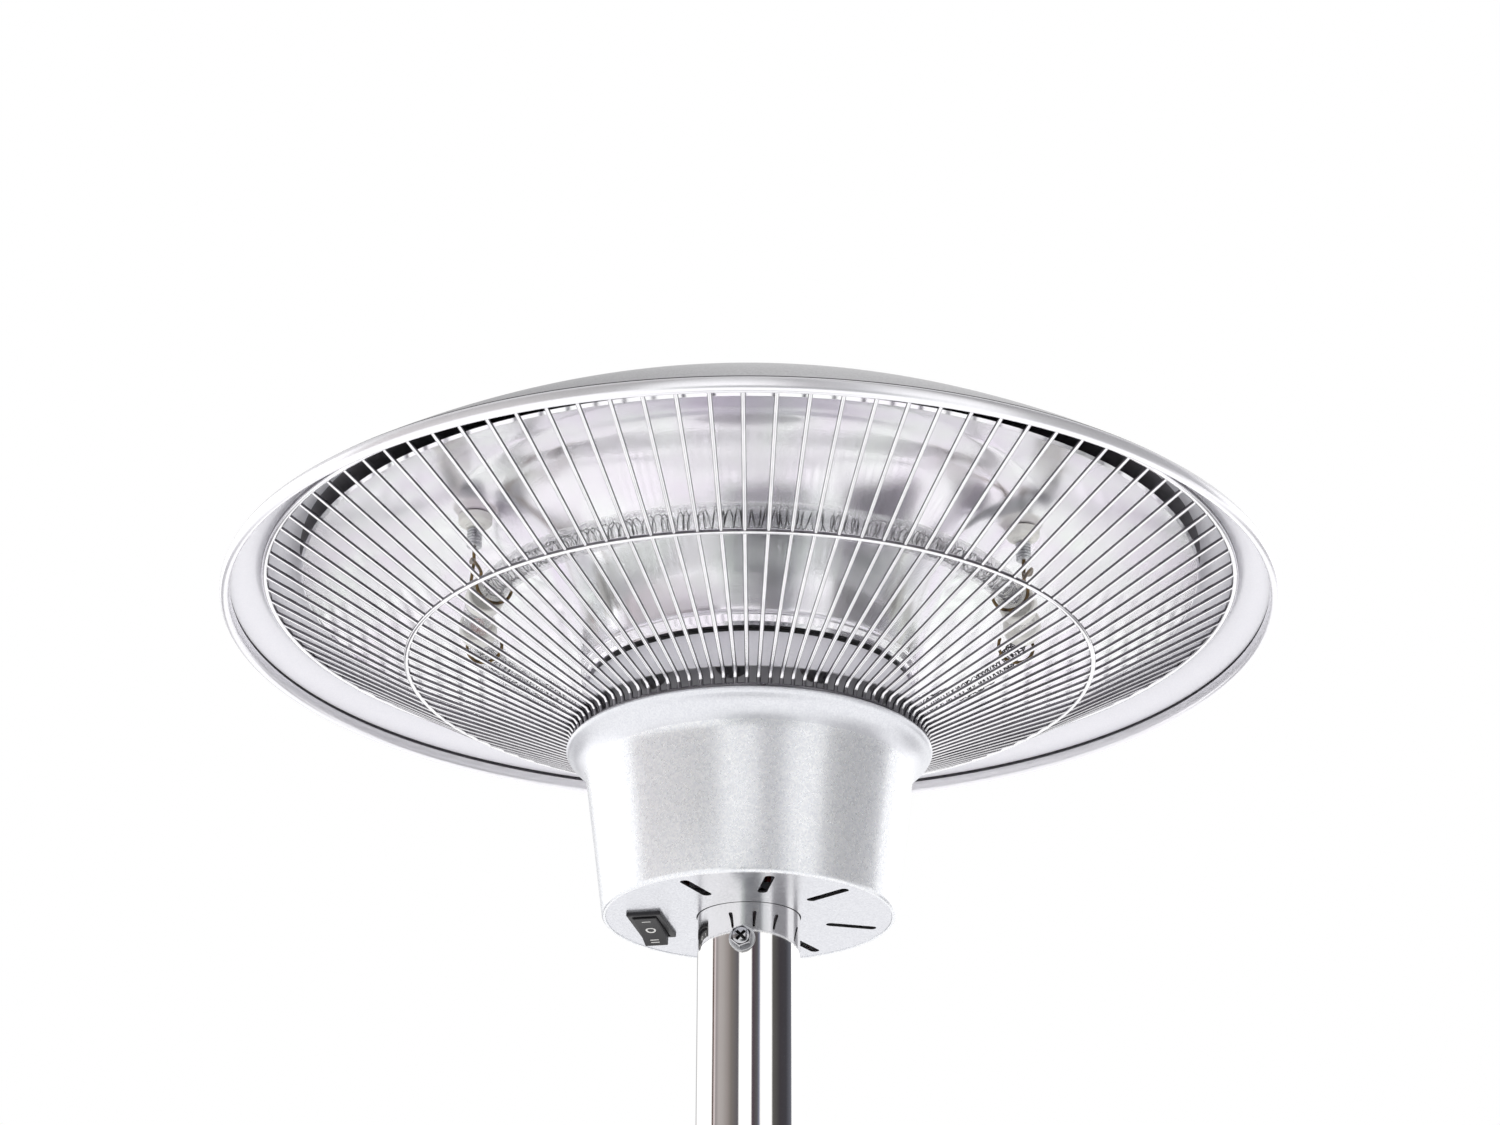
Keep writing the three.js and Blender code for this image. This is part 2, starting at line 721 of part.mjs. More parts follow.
function hubPlate() {
  const plateRadius = hubBottomRadius - hubWall - clearance;
  const plate = revolve([
    [socketRadius + slideFit, hubPlateBottom],
    [plateRadius, hubPlateBottom],
    [plateRadius, hubPlateTop],
    [socketRadius + slideFit, hubPlateTop],
  ], hubFacets);
  const switchHole = placeSwitch(block(
    switchBodyLength + 2 * clearance, switchBodyWidth + 2 * clearance,
    hubPlateBottom - overrun, hubPlateTop + overrun));
  return cut(plate, [switchHole, ...ventAngles.map((angle) => atPolar(ventTool(), ventRadius, angle))]);
}

// Turns a piece built along +X into the line of the switch and moves it to its place
function placeSwitch(geometry) {
  return geometry.rotateZ(radians(90 + switchTurn)).translate(switchCentreX, switchCentreY, 0);
}

// Bezel and body in one moulding, open below for the rocker
function switchHousing() {
  const bezelTop = hubPlateBottom - clearance;
  const bezelBottom = bezelTop - bezelThickness;
  const outline = new THREE.Shape([
    new THREE.Vector2(-bezelWidth / 2, bezelTop),
    new THREE.Vector2(-bezelWidth / 2, bezelBottom + bezelChamfer),
    new THREE.Vector2(-bezelWidth / 2 + bezelChamfer, bezelBottom),
    new THREE.Vector2(bezelWidth / 2 - bezelChamfer, bezelBottom),
    new THREE.Vector2(bezelWidth / 2, bezelBottom + bezelChamfer),
    new THREE.Vector2(bezelWidth / 2, bezelTop),
  ]);
  const bezel = new THREE.ExtrudeGeometry(outline, { depth: bezelLength, bevelEnabled: false })
    .rotateX(Math.PI / 2)
    .rotateZ(Math.PI / 2)
    .translate(-bezelLength / 2, 0, 0);
  const body = block(switchBodyLength, switchBodyWidth, bezelTop - bezelThickness / 2, bezelTop + switchBodyHeight);
  const cavity = block(
    rockerCavityLength, switchBodyWidth - 2 * switchWall,
    bezelBottom - overrun, bezelTop + rockerCavityDepth);
  const axleHole = rockerAxle(rockerAxleRadius + clearance, switchBodyWidth + 2 * overrun);
  return placeSwitch(cut(join([bezel, body]), [cavity, axleHole]));
}

function rockerPivotHeight() {
  return hubPlateBottom - clearance + rockerPivotRise;
}

function rockerAxle(radius, length) {
  return new THREE.CylinderGeometry(radius, radius, length, smallFacets)
    .translate(0, 0, rockerPivotHeight());
}

// Rocker about its own axle, before it is tipped: the face is slightly hollow
function switchRocker() {
  const face = hubPlateBottom - clearance - bezelThickness - rockerProud;
  const pivot = rockerPivotHeight();
  const half = rockerLength / 2;
  const outline = new THREE.Shape([
    new THREE.Vector2(-half, face - rockerEndRise),
    new THREE.Vector2(0, face),
    new THREE.Vector2(half, face - rockerEndRise),
    new THREE.Vector2(half - rockerEndRise / 2, pivot),
    new THREE.Vector2(rockerDepth, pivot + rockerDepth),
    new THREE.Vector2(-rockerDepth, pivot + rockerDepth),
    new THREE.Vector2(-half + rockerEndRise / 2, pivot),
  ]);
  const body = new THREE.ExtrudeGeometry(outline, { depth: rockerWidth, bevelEnabled: false })
    .translate(0, 0, -rockerWidth / 2)
    .rotateX(Math.PI / 2);
  const axle = rockerAxle(rockerAxleRadius, switchBodyWidth - clearance);
  return join([body, axle])
    .translate(0, 0, -pivot)
    .rotateY(radians(rockerTilt))
    .translate(0, 0, pivot);
}

function switchTerminal(place) {
  const top = hubPlateBottom - clearance + switchBodyHeight + clearance;
  return placeSwitch(block(terminalThickness, terminalWidth, top, top + terminalLength)
    .translate(place * terminalPitch, 0, 0));
}

// Terminal block with a pair of screw wells
function terminalBlock() {
  const bottom = hubPlateTop + clearance;
  const body = block(blockLength, blockDepth, bottom, bottom + blockHeight);
  const wells = [-1, 1].map((side) => cylinder(blockBoreRadius, bottom + blockHeight / 2, bottom + blockHeight + overrun, 8)
    .translate((side * blockLength) / 4, 0, 0));
  return cut(body, wells).translate(0, blockOffset, 0);
}

function tiltSwitch() {
  const bottom = hubPlateTop + clearance;
  return atPolar(block(tiltDepth, tiltLength, bottom, bottom + tiltHeight), tiltOffset, tiltAngle);
}

// Hollow quartz tube bent to an arc
function lampTube([fromAngle, toAngle]) {
  return tube(
    new LevelArc(lampRadius, lampHeight, fromAngle, toAngle),
    lampTubeRadius, lampTubeSides, lampTubeSteps, lampTubeRadius - lampTubeWall);
}

function lampFilament([fromAngle, toAngle], name) {
  const inset = THREE.MathUtils.radToDeg(clearance / lampRadius);
  const path = new CoiledArc(
    lampRadius, lampHeight, fromAngle + inset, toAngle - inset, filamentRadius, filamentCurls, filamentEndRun);
  const arcLength = radians(toAngle - fromAngle) * lampRadius;
  const curlLength = (arcLength - 2 * filamentEndRun) / filamentCurls;
  const steps = Math.round((arcLength / curlLength) * filamentStepsPerCurl);
  printLeastGap(name, path, steps);
  return tube(path, filamentWire, coilFacets, steps);
}

// Least distance between stretches of the coil that are half a curl or more apart
function printLeastGap(name, path, steps) {
  const points = path.getSpacedPoints(2 * steps);
  let least = Infinity;
  for (let i = 0; i < points.length; i += 1) {
    for (let k = i + filamentStepsPerCurl; k < Math.min(i + 4 * filamentStepsPerCurl, points.length); k += 1) {
      least = Math.min(least, points[i].distanceTo(points[k]) - 2 * filamentWire);
    }
  }
  console.log(`${name}: least gap to itself ${least.toFixed(2)} mm`);
}

// Ceramic cup on a lamp's end: outward is 1 past the arc's last angle and -1 before its first
function lampCap(endAngle, outward) {
  const bore = (lampTubeRadius + capFit) / Math.cos(Math.PI / smallFacets);
  const outer = bore + capWall;
  const cup = revolve([
    [0, capLength - capCover],
    [capBossRadius, capLength - capCover],
    [capBossRadius, capLength - capCover - capWall],
    [outer, capLength - capCover - capWall],
    [outer, -capCover],
    [bore, -capCover],
    [bore, clearance],
    [filamentWire * 2, clearance],
    [filamentWire * 2, clearance + capWall],
    [0, clearance + capWall],
  ], smallFacets);
  return cup
    .rotateX(-outward * (Math.PI / 2))
    .rotateZ(radians(endAngle))
    .translate(...polar(lampRadius, endAngle, lampHeight).toArray());
}

// Ceramic disc under the reflector, with a spigot through it and a bore for the stud
function insulator(angle) {
  const seat = reflectorCrownHeight - clearance;
  const bore = studRadius + clearance;
  const bottom = seat - insulatorThickness;
  return atPolar(revolve([
    [bore, reflectorCrownHeight + insulatorSpigotRise],
    [insulatorSpigotRadius, reflectorCrownHeight + insulatorSpigotRise],
    [insulatorSpigotRadius, seat],
    [insulatorRadius, seat],
    [insulatorRadius - clearance, bottom],
    [insulatorBossRadius, bottom],
    [insulatorBossRadius, bottom - insulatorBossHeight],
    [bore, bottom - insulatorBossHeight],
  ], smallFacets), reflectorCrownRadius, angle);
}

function studSleeveTop() {
  return reflectorCrownHeight - 2 * clearance - insulatorThickness - insulatorBossHeight;
}

// Stud with a nut above the reflector and a ribbed sleeve below the ceramic disc
function stud(angle) {
  const nutBottom = reflectorCrownHeight + insulatorSpigotRise + clearance;
  const sleeveTop = studSleeveTop();
  const ribs = [];
  const ribHeight = studSleeveLength / studRibs;
  for (let i = 0; i < studRibs; i += 1) {
    const top = sleeveTop - i * ribHeight;
    ribs.push([studSleeveRadius, top], [studSleeveRadius - studRibDepth, top - ribHeight / 2]);
  }
  const sleeveBottom = sleeveTop - studSleeveLength;
  return atPolar(revolve([
    [0, nutBottom + studNutHeight],
    [studNutRadius, nutBottom + studNutHeight],
    [studNutRadius, nutBottom],
    [studRadius, nutBottom],
    [studRadius, sleeveTop],
    ...ribs,
    [studSleeveRadius, sleeveBottom],
    [0, sleeveBottom],
  ], ribFacets), reflectorCrownRadius, angle);
}

// Bent wire from a stud that ends in a hook round the underside of a lamp
function hanger(holderAngle, hookAngle) {
  const side = Math.sign(hookAngle - holderAngle);
  const start = studSleeveTop() - studSleeveLength - clearance;
  const startAngle = holderAngle + side * THREE.MathUtils.radToDeg(hangerStartOffset / reflectorCrownRadius);
  const reach = (lampTubeRadius + slideFit + hangerWireRadius) / Math.cos(radians(hookStep / 2));
  const points = [
    polar(reflectorCrownRadius, startAngle, start),
    polar(reflectorCrownRadius, startAngle, start - hangerDrop),
  ];
  const bendShares = [[0.3, 0.32], [0.72, 0.62]];
  const hookTop = lampHeight + reach;
  for (const [along, down] of bendShares) {
    points.push(polar(
      THREE.MathUtils.lerp(reflectorCrownRadius, lampRadius + reach, along),
      THREE.MathUtils.lerp(startAngle, hookAngle, along),
      THREE.MathUtils.lerp(start - hangerDrop, hookTop, down)));
  }
  for (let i = 0; i <= hookSteps; i += 1) {
    const angle = radians(hookStart - i * hookStep);
    points.push(polar(lampRadius + reach * Math.cos(angle), hookAngle, lampHeight + reach * Math.sin(angle)));
  }
  return tube(new Polyline(points), hangerWireRadius, wireFacets, points.length - 1);
}

// Round wire along straight runs, with an even bend at each corner between them
function leadTube(corners, radius, bend) {
  const path = [corners[0]];
  for (let i = 1; i < corners.length - 1; i += 1) {
    const [before, corner, after] = corners.slice(i - 1, i + 2);
    const inward = corner.distanceTo(before);
    const outward = corner.distanceTo(after);
    const reach = Math.min(bend, inward / 2, outward / 2);
    const from = corner.clone().lerp(before, reach / inward);
    const to = corner.clone().lerp(after, reach / outward);
    for (const share of bendShares) {
      path.push(from.clone().lerp(corner, share).lerp(corner.clone().lerp(to, share), share));
    }
  }
  path.push(corners[corners.length - 1]);
  return tube(new Polyline(path), radius, leadFacets, path.length - 1);
}

// Lead from the terminal block up through the neck and over the reflector to a stud
function lampLead(side, angle) {
  const level = reflectorCrownHeight + insulatorSpigotRise + clearance + studNutHeight / 2;
  const end = polar(reflectorCrownRadius - studNutRadius - clearance, angle, level);
  const blockTop = hubPlateTop + clearance + blockHeight + clearance;
  const wellX = (side * blockLength) / 4;
  const holeX = side * neckWireHoleOffset;
  return leadTube([
    new THREE.Vector3(wellX, blockOffset, blockTop),
    new THREE.Vector3(wellX, blockOffset, blockTop + blockHeight),
    new THREE.Vector3(holeX, 0, neckPlateBottom - blockHeight),
    new THREE.Vector3(holeX, 0, level),
    end,
  ], leadRadius, leadBend);
}

function switchLead() {
  const top = hubPlateBottom + switchBodyHeight + terminalLength + clearance;
  const level = hubPlateTop + clearance + blockHeight / 2;
  const side = -blockLength / 2;
  return leadTube([
    new THREE.Vector3(switchCentreX, switchCentreY, top),
    new THREE.Vector3(switchCentreX, switchCentreY, top + blockDepth),
    new THREE.Vector3(side - blockDepth, blockOffset, top + blockDepth),
    new THREE.Vector3(side - blockDepth, blockOffset, level),
    new THREE.Vector3(side - clearance, blockOffset, level),
  ], leadRadius, blockDepth / 2);
}

// Supply lead from the grommet through the base and the post to the terminal block
function supplyLead() {
  const headLevel = rimHeight + hubPlateTop + clearance + blockHeight / 2;
  return leadTube([
    new THREE.Vector3(0, baseDiameter / 2, leadLevel),
    new THREE.Vector3(0, 0, leadLevel),
    new THREE.Vector3(0, 0, headLevel),
    new THREE.Vector3(0, blockOffset - blockDepth / 2 - clearance, headLevel),
  ], supplyLeadRadius, leadBend);
}

// Cylinder that points out of the post along the line of its screw
function postScrewTool(radius, fromReach, toReach, facets = smallFacets) {
  return cylinder(radius, fromReach, toReach, facets)
    .rotateY(Math.PI / 2)
    .rotateZ(radians(postScrewTurn))
    .translate(0, 0, postTop - postScrewDrop);
}

function postTube() {
  const tubeBody = revolve([
    [postBore, postBottom - rimHeight],
    [postRadius, postBottom - rimHeight],
    [postRadius, postTop],
    [postBore, postTop],
  ], postFacets);
  return cut(tubeBody, [postScrewTool(postScrewRadius + clearance, postBore - overrun, postRadius + overrun)]);
}

// Flanged sleeve that plugs the top of the post and stands on the hub plate
function postSocket() {
  const socket = revolve([
    [socketBore, postTop - socketReach],
    [socketRadius, postTop - socketReach],
    [socketRadius, socketFlangeBottom],
    [socketFlangeRadius, socketFlangeBottom],
    [socketFlangeRadius, socketFlangeBottom + socketFlangeThickness],
    [socketBore, socketFlangeBottom + socketFlangeThickness],
  ], postFacets);
  return cut(socket, [postScrewTool(postScrewRadius + clearance, socketBore - overrun, socketRadius + overrun)]);
}

// Hexagon-head screw with a cross recess, pointing out of the post
function postScrew() {
  const seat = postRadius + clearance + postWasherThickness + clearance;
  const head = hexagon(postScrewFlats, seat, seat + postScrewHeadHeight);
  const shank = cylinder(postScrewRadius, postRadius - postScrewReach, seat + overrun);
  const arms = [0, 90].map((angle) => block(
    crossArm, crossWidth, seat + postScrewHeadHeight - crossDepth, seat + postScrewHeadHeight + overrun)
    .rotateZ(radians(angle + 45)));
  return cut(join([head, shank]), arms)
    .rotateY(Math.PI / 2)
    .rotateZ(radians(postScrewTurn))
    .translate(0, 0, postTop - postScrewDrop);
}

function ringWasher(radius, bore, thickness, bottom) {
  return revolve([
    [bore, bottom],
    [radius, bottom],
    [radius, bottom + thickness],
    [bore, bottom + thickness],
  ], smallFacets);
}

function postWasher() {
  return ringWasher(postWasherRadius, postScrewRadius + clearance, postWasherThickness, postRadius + clearance)
    .rotateY(Math.PI / 2)
    .rotateZ(radians(postScrewTurn))
    .translate(0, 0, postTop - postScrewDrop);
}

// Flanged nut whose flange lies at the seat: it stands above it, or hangs below with side -1
function flangeNut(seat, side) {
  const end = seat + side * nutHeight;
  const flangeEnd = seat + side * washerThickness;
  const bottom = Math.min(seat, end);
  const top = Math.max(seat, end);
  const body = join([
    hexagon(nutFlats, bottom, top),
    cylinder(washerRadius, Math.min(seat, flangeEnd), Math.max(seat, flangeEnd)),
  ]);
  return cut(body, [cylinder(rodRadius + clearance, bottom - overrun, top + overrun)]);
}

// Nut with a closed dome over the end of the rod
function capNut(bottom) {
  const domeRadius = nutFlats / 2;
  const domeBottom = bottom + nutHeight;
  const dome = revolve([
    [0, domeBottom + capNutDomeHeight],
    [domeRadius * 0.5, domeBottom + capNutDomeHeight * 0.8],
    [domeRadius * 0.85, domeBottom + capNutDomeHeight * 0.4],
    [domeRadius * 0.95, domeBottom - overrun],
    [0, domeBottom - overrun],
  ], smallFacets);
  const flange = cylinder(washerRadius, bottom, bottom + washerThickness);
  return cut(join([hexagon(nutFlats, bottom, domeBottom), flange, dome]),
    [cylinder(rodRadius + clearance, bottom - overrun, rodTop() + clearance)]);
}

function rodTop() {
  return canopySeat + rodTopRise;
}

// Round foot of hard rubber
function foot(index) {
  return atPolar(cylinder(footRadius, 0, footHeight, smallFacets * 2), footRingRadius, 45 + (360 * index) / footCount);
}

// Spun cover with a straight side, a round shoulder and a low dome up to the post
function baseCover() {
  const radius = baseDiameter / 2;
  const collarRadius = postRadius + slideFit;
  const domeFoot = [radius - coverShoulderInset, coverShoulderHeight];
  const outer = [
    [radius, footHeight],
    [radius, coverSideHeight],
    [radius - coverShoulderInset * 0.25, (coverSideHeight + coverShoulderHeight) / 2],
    domeFoot,
    [coverMiddleRadius, coverMiddleHeight],
    [collarRadius, baseHeight],
  ];
  const shell = revolve(sheetOutline(outer, -coverSheet), wideFacets);
  const leadHole = cylinder(grommetBodyRadius + clearance, radius - coverSheet - overrun, radius + overrun)
    .rotateX(-Math.PI / 2)
    .translate(0, 0, leadLevel);
  return cut(shell, [leadHole]);
}

function basePlate() {
  const radius = baseDiameter / 2 - coverSheet - clearance;
  return cylinder(radius, basePlateBottom, basePlateBottom + basePlateThickness, wideFacets);
}

// Round weight with a bore for the lead and a channel out to the grommet
function baseWeight() {
  const body = cylinder(weightRadius, weightBottom, weightTop, wideFacets);
  const channel = block(
    weightChannelWidth, weightRadius + overrun, weightBottom - overrun, weightBottom + weightChannelHeight)
    .translate(0, (weightRadius + overrun) / 2, 0);
  const bore = cylinder(weightBoreRadius, weightBottom - overrun, weightTop + overrun);
  return cut(body, [channel, bore, ...bolts((angle) => atPolar(
    cylinder(boltRadius + clearance, flangeTop - boltLength - clearance, weightTop + overrun), boltRingRadius, angle))]);
}

function bolts(make) {
  return Array.from({ length: boltCount }, (unused, i) => make(boltTurn + (360 * i) / boltCount, i + 1));
}

// Flanged sleeve on the weight that plugs the foot of the post
function postFlange() {
  const flange = revolve([
    [flangeBoreRadius, flangeBottom],
    [flangeRadius, flangeBottom],
    [flangeRadius, flangeTop],
    [socketRadius, flangeTop],
    [socketRadius, flangeTop + flangeSocketReach],
    [socketBore, flangeTop + flangeSocketReach],
    [socketBore, flangeTop],
    [flangeBoreRadius, flangeTop],
  ], postFacets);
  return cut(flange, bolts((angle) => atPolar(
    cylinder(boltRadius + clearance, flangeBottom - overrun, flangeTop + overrun), boltRingRadius, angle)));
}

function baseBolt(angle) {
  const seat = flangeTop + clearance;
  return atPolar(join([
    hexagon(boltHeadFlats, seat, seat + boltHeadHeight),
    cylinder(boltRadius, flangeTop - boltLength, seat + overrun),
  ]), boltRingRadius, angle);
}

// Rubber bush in the side of the cover, with a flange inside and outside the sheet
function leadGrommet() {
  const bore = supplyLeadRadius + slideFit;
  const outerSheet = baseDiameter / 2 + clearance;
  const innerSheet = baseDiameter / 2 - coverSheet - 3 * clearance;
  return revolve([
    [bore, innerSheet - grommetFlangeThickness],
    [grommetFlangeRadius, innerSheet - grommetFlangeThickness],
    [grommetFlangeRadius, innerSheet],
    [grommetBodyRadius, innerSheet],
    [grommetBodyRadius, outerSheet],
    [grommetFlangeRadius, outerSheet],
    [grommetFlangeRadius, outerSheet + grommetFlangeThickness],
    [bore, outerSheet + grommetFlangeThickness],
  ], smallFacets)
    .rotateX(-Math.PI / 2)
    .translate(0, 0, leadLevel);
}

function buildCanopy(head) {
  addPiece(head, "canopy_shell", canopyShell(), materials.satinSilver);
  addPiece(head, "canopy_rod", cylinder(rodRadius, neckPlateBottom - rodFootDrop, rodTop()), materials.zincSteel);
  addPiece(head, "rod_foot_nut", flangeNut(neckPlateBottom - clearance, -1), materials.zincSteel);
  addPiece(head, "rod_neck_nut", flangeNut(neckTop + clearance, 1), materials.zincSteel);
  addPiece(head, "canopy_lower_nut", flangeNut(canopyUnderSeat - clearance, -1), materials.zincSteel);
  addPiece(head, "canopy_cap_nut", capNut(canopySeat + clearance), materials.mirrorSteel);
}

function buildReflector(head) {
  addPiece(head, "reflector_dish", reflectorDish(), materials.mirrorAluminium);
  const seat = reflectorFootTop + clearance;
  flangeScrews((angle, number) => addPiece(head, `reflector_screw_${number}`, atPolar(join([
    cylinder(flangeScrewHeadRadius, seat, seat + flangeScrewHeadHeight),
    cylinder(flangeScrewRadius, reflectorFootHeight - flangeScrewLength, seat + flangeScrewHeadHeight / 2),
  ]), flangeScrewRing(), angle), materials.zincSteel));
}

function buildHub(head) {
  addPiece(head, "hub_neck", hubNeck(), materials.satinSilver);
  addPiece(head, "hub_core", hubCore(), materials.darkSteel);
  addPiece(head, "hub_shell", hubShell(), materials.sparkleSilver);
  addPiece(head, "hub_plate", hubPlate(), materials.sparkleSilver);
  pillarAngles.forEach((angle, i) => addPiece(head, `hub_pillar_${i + 1}`, atPolar(
    cylinder(pillarRadius, hubPlateTop + clearance, neckPlateBottom - clearance, 8),
    pillarRingRadius, angle), materials.zincSteel));
}

function buildLamp(head, name, angles) {
  addPiece(head, `${name}_tube`, lampTube(angles), materials.quartz);
  addPiece(head, `${name}_filament`, lampFilament(angles, `${name}_filament`), materials.filamentSteel);
  addPiece(head, `${name}_cap_1`, lampCap(angles[0], -1), materials.ceramic);
  addPiece(head, `${name}_cap_2`, lampCap(angles[1], 1), materials.ceramic);
}

function buildHolders(head) {
  for (const [side, angle] of Object.entries(holderAngles)) {
    addPiece(head, `insulator_${side}`, insulator(angle), materials.ceramic);
    addPiece(head, `stud_${side}`, stud(angle), materials.zincSteel);
  }
  const { left, right } = holderAngles;
  addPiece(head, "hanger_front_left", hanger(left - 360, hangerAngles.frontLeft), materials.darkSteel);
  addPiece(head, "hanger_front_right", hanger(right, hangerAngles.frontRight), materials.darkSteel);
  addPiece(head, "hanger_back_left", hanger(left, hangerAngles.backLeft), materials.darkSteel);
  addPiece(head, "hanger_back_right", hanger(right, hangerAngles.backRight), materials.darkSteel);
}

function buildSwitch(head) {
  addPiece(head, "switch_housing", switchHousing(), materials.blackPlastic);
  addPiece(head, "switch_rocker", placeSwitch(switchRocker()), materials.blackPlastic);
  [-1, 0, 1].forEach((place, i) =>
    addPiece(head, `switch_terminal_${i + 1}`, switchTerminal(place), materials.brass));
}

function buildWiring(head, stand) {
  addPiece(head, "terminal_block", terminalBlock(), materials.palePlastic);
  addPiece(head, "tilt_switch", tiltSwitch(), materials.blackPlastic);
  addPiece(head, "lead_left", lampLead(-1, holderAngles.left), materials.silicone);
  addPiece(head, "lead_right", lampLead(1, holderAngles.right), materials.silicone);
  addPiece(head, "lead_switch", switchLead(), materials.silicone);
  addPiece(stand, "lead_supply", supplyLead(), materials.blackRubber);
}

function buildPost(head) {
  addPiece(head, "post_tube", postTube(), materials.mirrorSteel);
  addPiece(head, "post_socket", postSocket(), materials.zincSteel);
  addPiece(head, "post_screw", postScrew(), materials.zincSteel);
  addPiece(head, "post_screw_washer", postWasher(), materials.zincSteel);
}

function buildBase(stand) {
  for (let i = 0; i < footCount; i += 1) {
    addPiece(stand, `foot_${i + 1}`, foot(i), materials.blackRubber);
  }
  addPiece(stand, "base_plate", basePlate(), materials.zincSteel);
  addPiece(stand, "base_weight", baseWeight(), materials.castIron);
  addPiece(stand, "base_cover", baseCover(), materials.satinSilver);
  addPiece(stand, "post_flange", postFlange(), materials.zincSteel);
  bolts((angle, number) => addPiece(stand, `base_bolt_${number}`, baseBolt(angle), materials.zincSteel));
  addPiece(stand, "lead_grommet", leadGrommet(), materials.blackRubber);
}

const heater = new THREE.Group();
const head = new THREE.Group();
const stand = new THREE.Group();
head.position.z = rimHeight;
heater.add(head, stand);

buildCanopy(head);
buildReflector(head);
addPiece(head, "guard", guard(), materials.guardSteel);
buildHub(head);
buildLamp(head, "lamp_front", lampFrontAngles);
buildLamp(head, "lamp_back", lampBackAngles);
buildHolders(head);
buildSwitch(head);
buildWiring(head, stand);
buildPost(head);
buildBase(stand);

export default heater;
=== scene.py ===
"""Looks of a free-standing infrared heater with a canopy, ring lamps, a wire guard and a post."""

import logging
import math
from collections.abc import Callable, Iterable
from dataclasses import dataclass, field
from enum import Enum

import bpy
from mathutils import Matrix, Vector


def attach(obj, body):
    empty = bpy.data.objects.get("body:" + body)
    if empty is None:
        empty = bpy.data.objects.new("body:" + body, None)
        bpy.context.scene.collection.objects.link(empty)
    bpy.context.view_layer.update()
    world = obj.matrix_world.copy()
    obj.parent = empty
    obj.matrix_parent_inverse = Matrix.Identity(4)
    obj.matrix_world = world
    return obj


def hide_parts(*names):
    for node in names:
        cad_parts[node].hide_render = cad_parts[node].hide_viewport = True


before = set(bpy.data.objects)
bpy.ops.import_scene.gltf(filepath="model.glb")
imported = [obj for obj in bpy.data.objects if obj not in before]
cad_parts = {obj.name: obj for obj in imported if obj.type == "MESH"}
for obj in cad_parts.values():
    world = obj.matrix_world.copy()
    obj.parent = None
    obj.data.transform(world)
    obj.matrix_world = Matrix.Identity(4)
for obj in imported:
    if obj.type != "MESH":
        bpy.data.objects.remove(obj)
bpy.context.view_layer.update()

LOG = logging.getLogger("heater")
MM = 0.001
# The canopy's rim stands this many millimetres above the floor, and heights on the head count from it.
RIM = 818.0
# The middle line of the lamps: its radius, and its height from the rim.
LAMP_RING = 116.3
LAMP_LEVEL = -1.7
# Points closer than this many metres are one, and ends of an edge are level within this many.
SAME_PLACE = 0.00002
SAME_LEVEL = 0.0001
# The radius in millimetres of a turned piece's ring that closes it to a point.
POINT_RADIUS = 0.01
WHITE = (1.0, 1.0, 1.0, 1.0)
HEATER = "heater"
ROCKER = "rocker"

Piece = bpy.types.Object
Face = bpy.types.MeshPolygon
Tree = bpy.types.NodeTree
Node = bpy.types.Node
Socket = bpy.types.NodeSocket
Colour = tuple[float, float, float, float]
Triple = tuple[float, float, float]
Profile = list[tuple[float, float]]
Stops = tuple[tuple[float, str], ...]


def linear(code: str) -> Colour:
    """Turns an sRGB hex colour into linear light.

    Args:
        code: The colour as six hex digits after a hash.

    Returns:
        Red, green, blue and an alpha of one.
    """
    parts = [int(code[i:i + 2], 16) / 255 for i in (1, 3, 5)]
    red, green, blue = (p / 12.92 if p <= 0.04045 else ((p + 0.055) / 1.055) ** 2.4 for p in parts)
    return (red, green, blue, 1.0)


def add_node(tree: Tree, kind: str, inputs: dict | None = None, out: int | str = 0, **options: object) -> Socket:
    """Adds a shader node.

    Args:
        tree: The node tree that takes it.
        kind: The node's type name.
        inputs: Input name or number to its value, or to the socket that feeds it.
        out: Name or number of the output that is wanted.
        options: Properties of the node itself.

    Returns:
        That output.
    """
    node = tree.nodes.new(kind)
    for name, value in options.items():
        setattr(node, name, value)
    for name, value in (inputs or {}).items():
        if isinstance(value, Socket):
            tree.links.new(value, node.inputs[name])
        else:
            node.inputs[name].default_value = value
    return node.outputs[out]


# Finishes

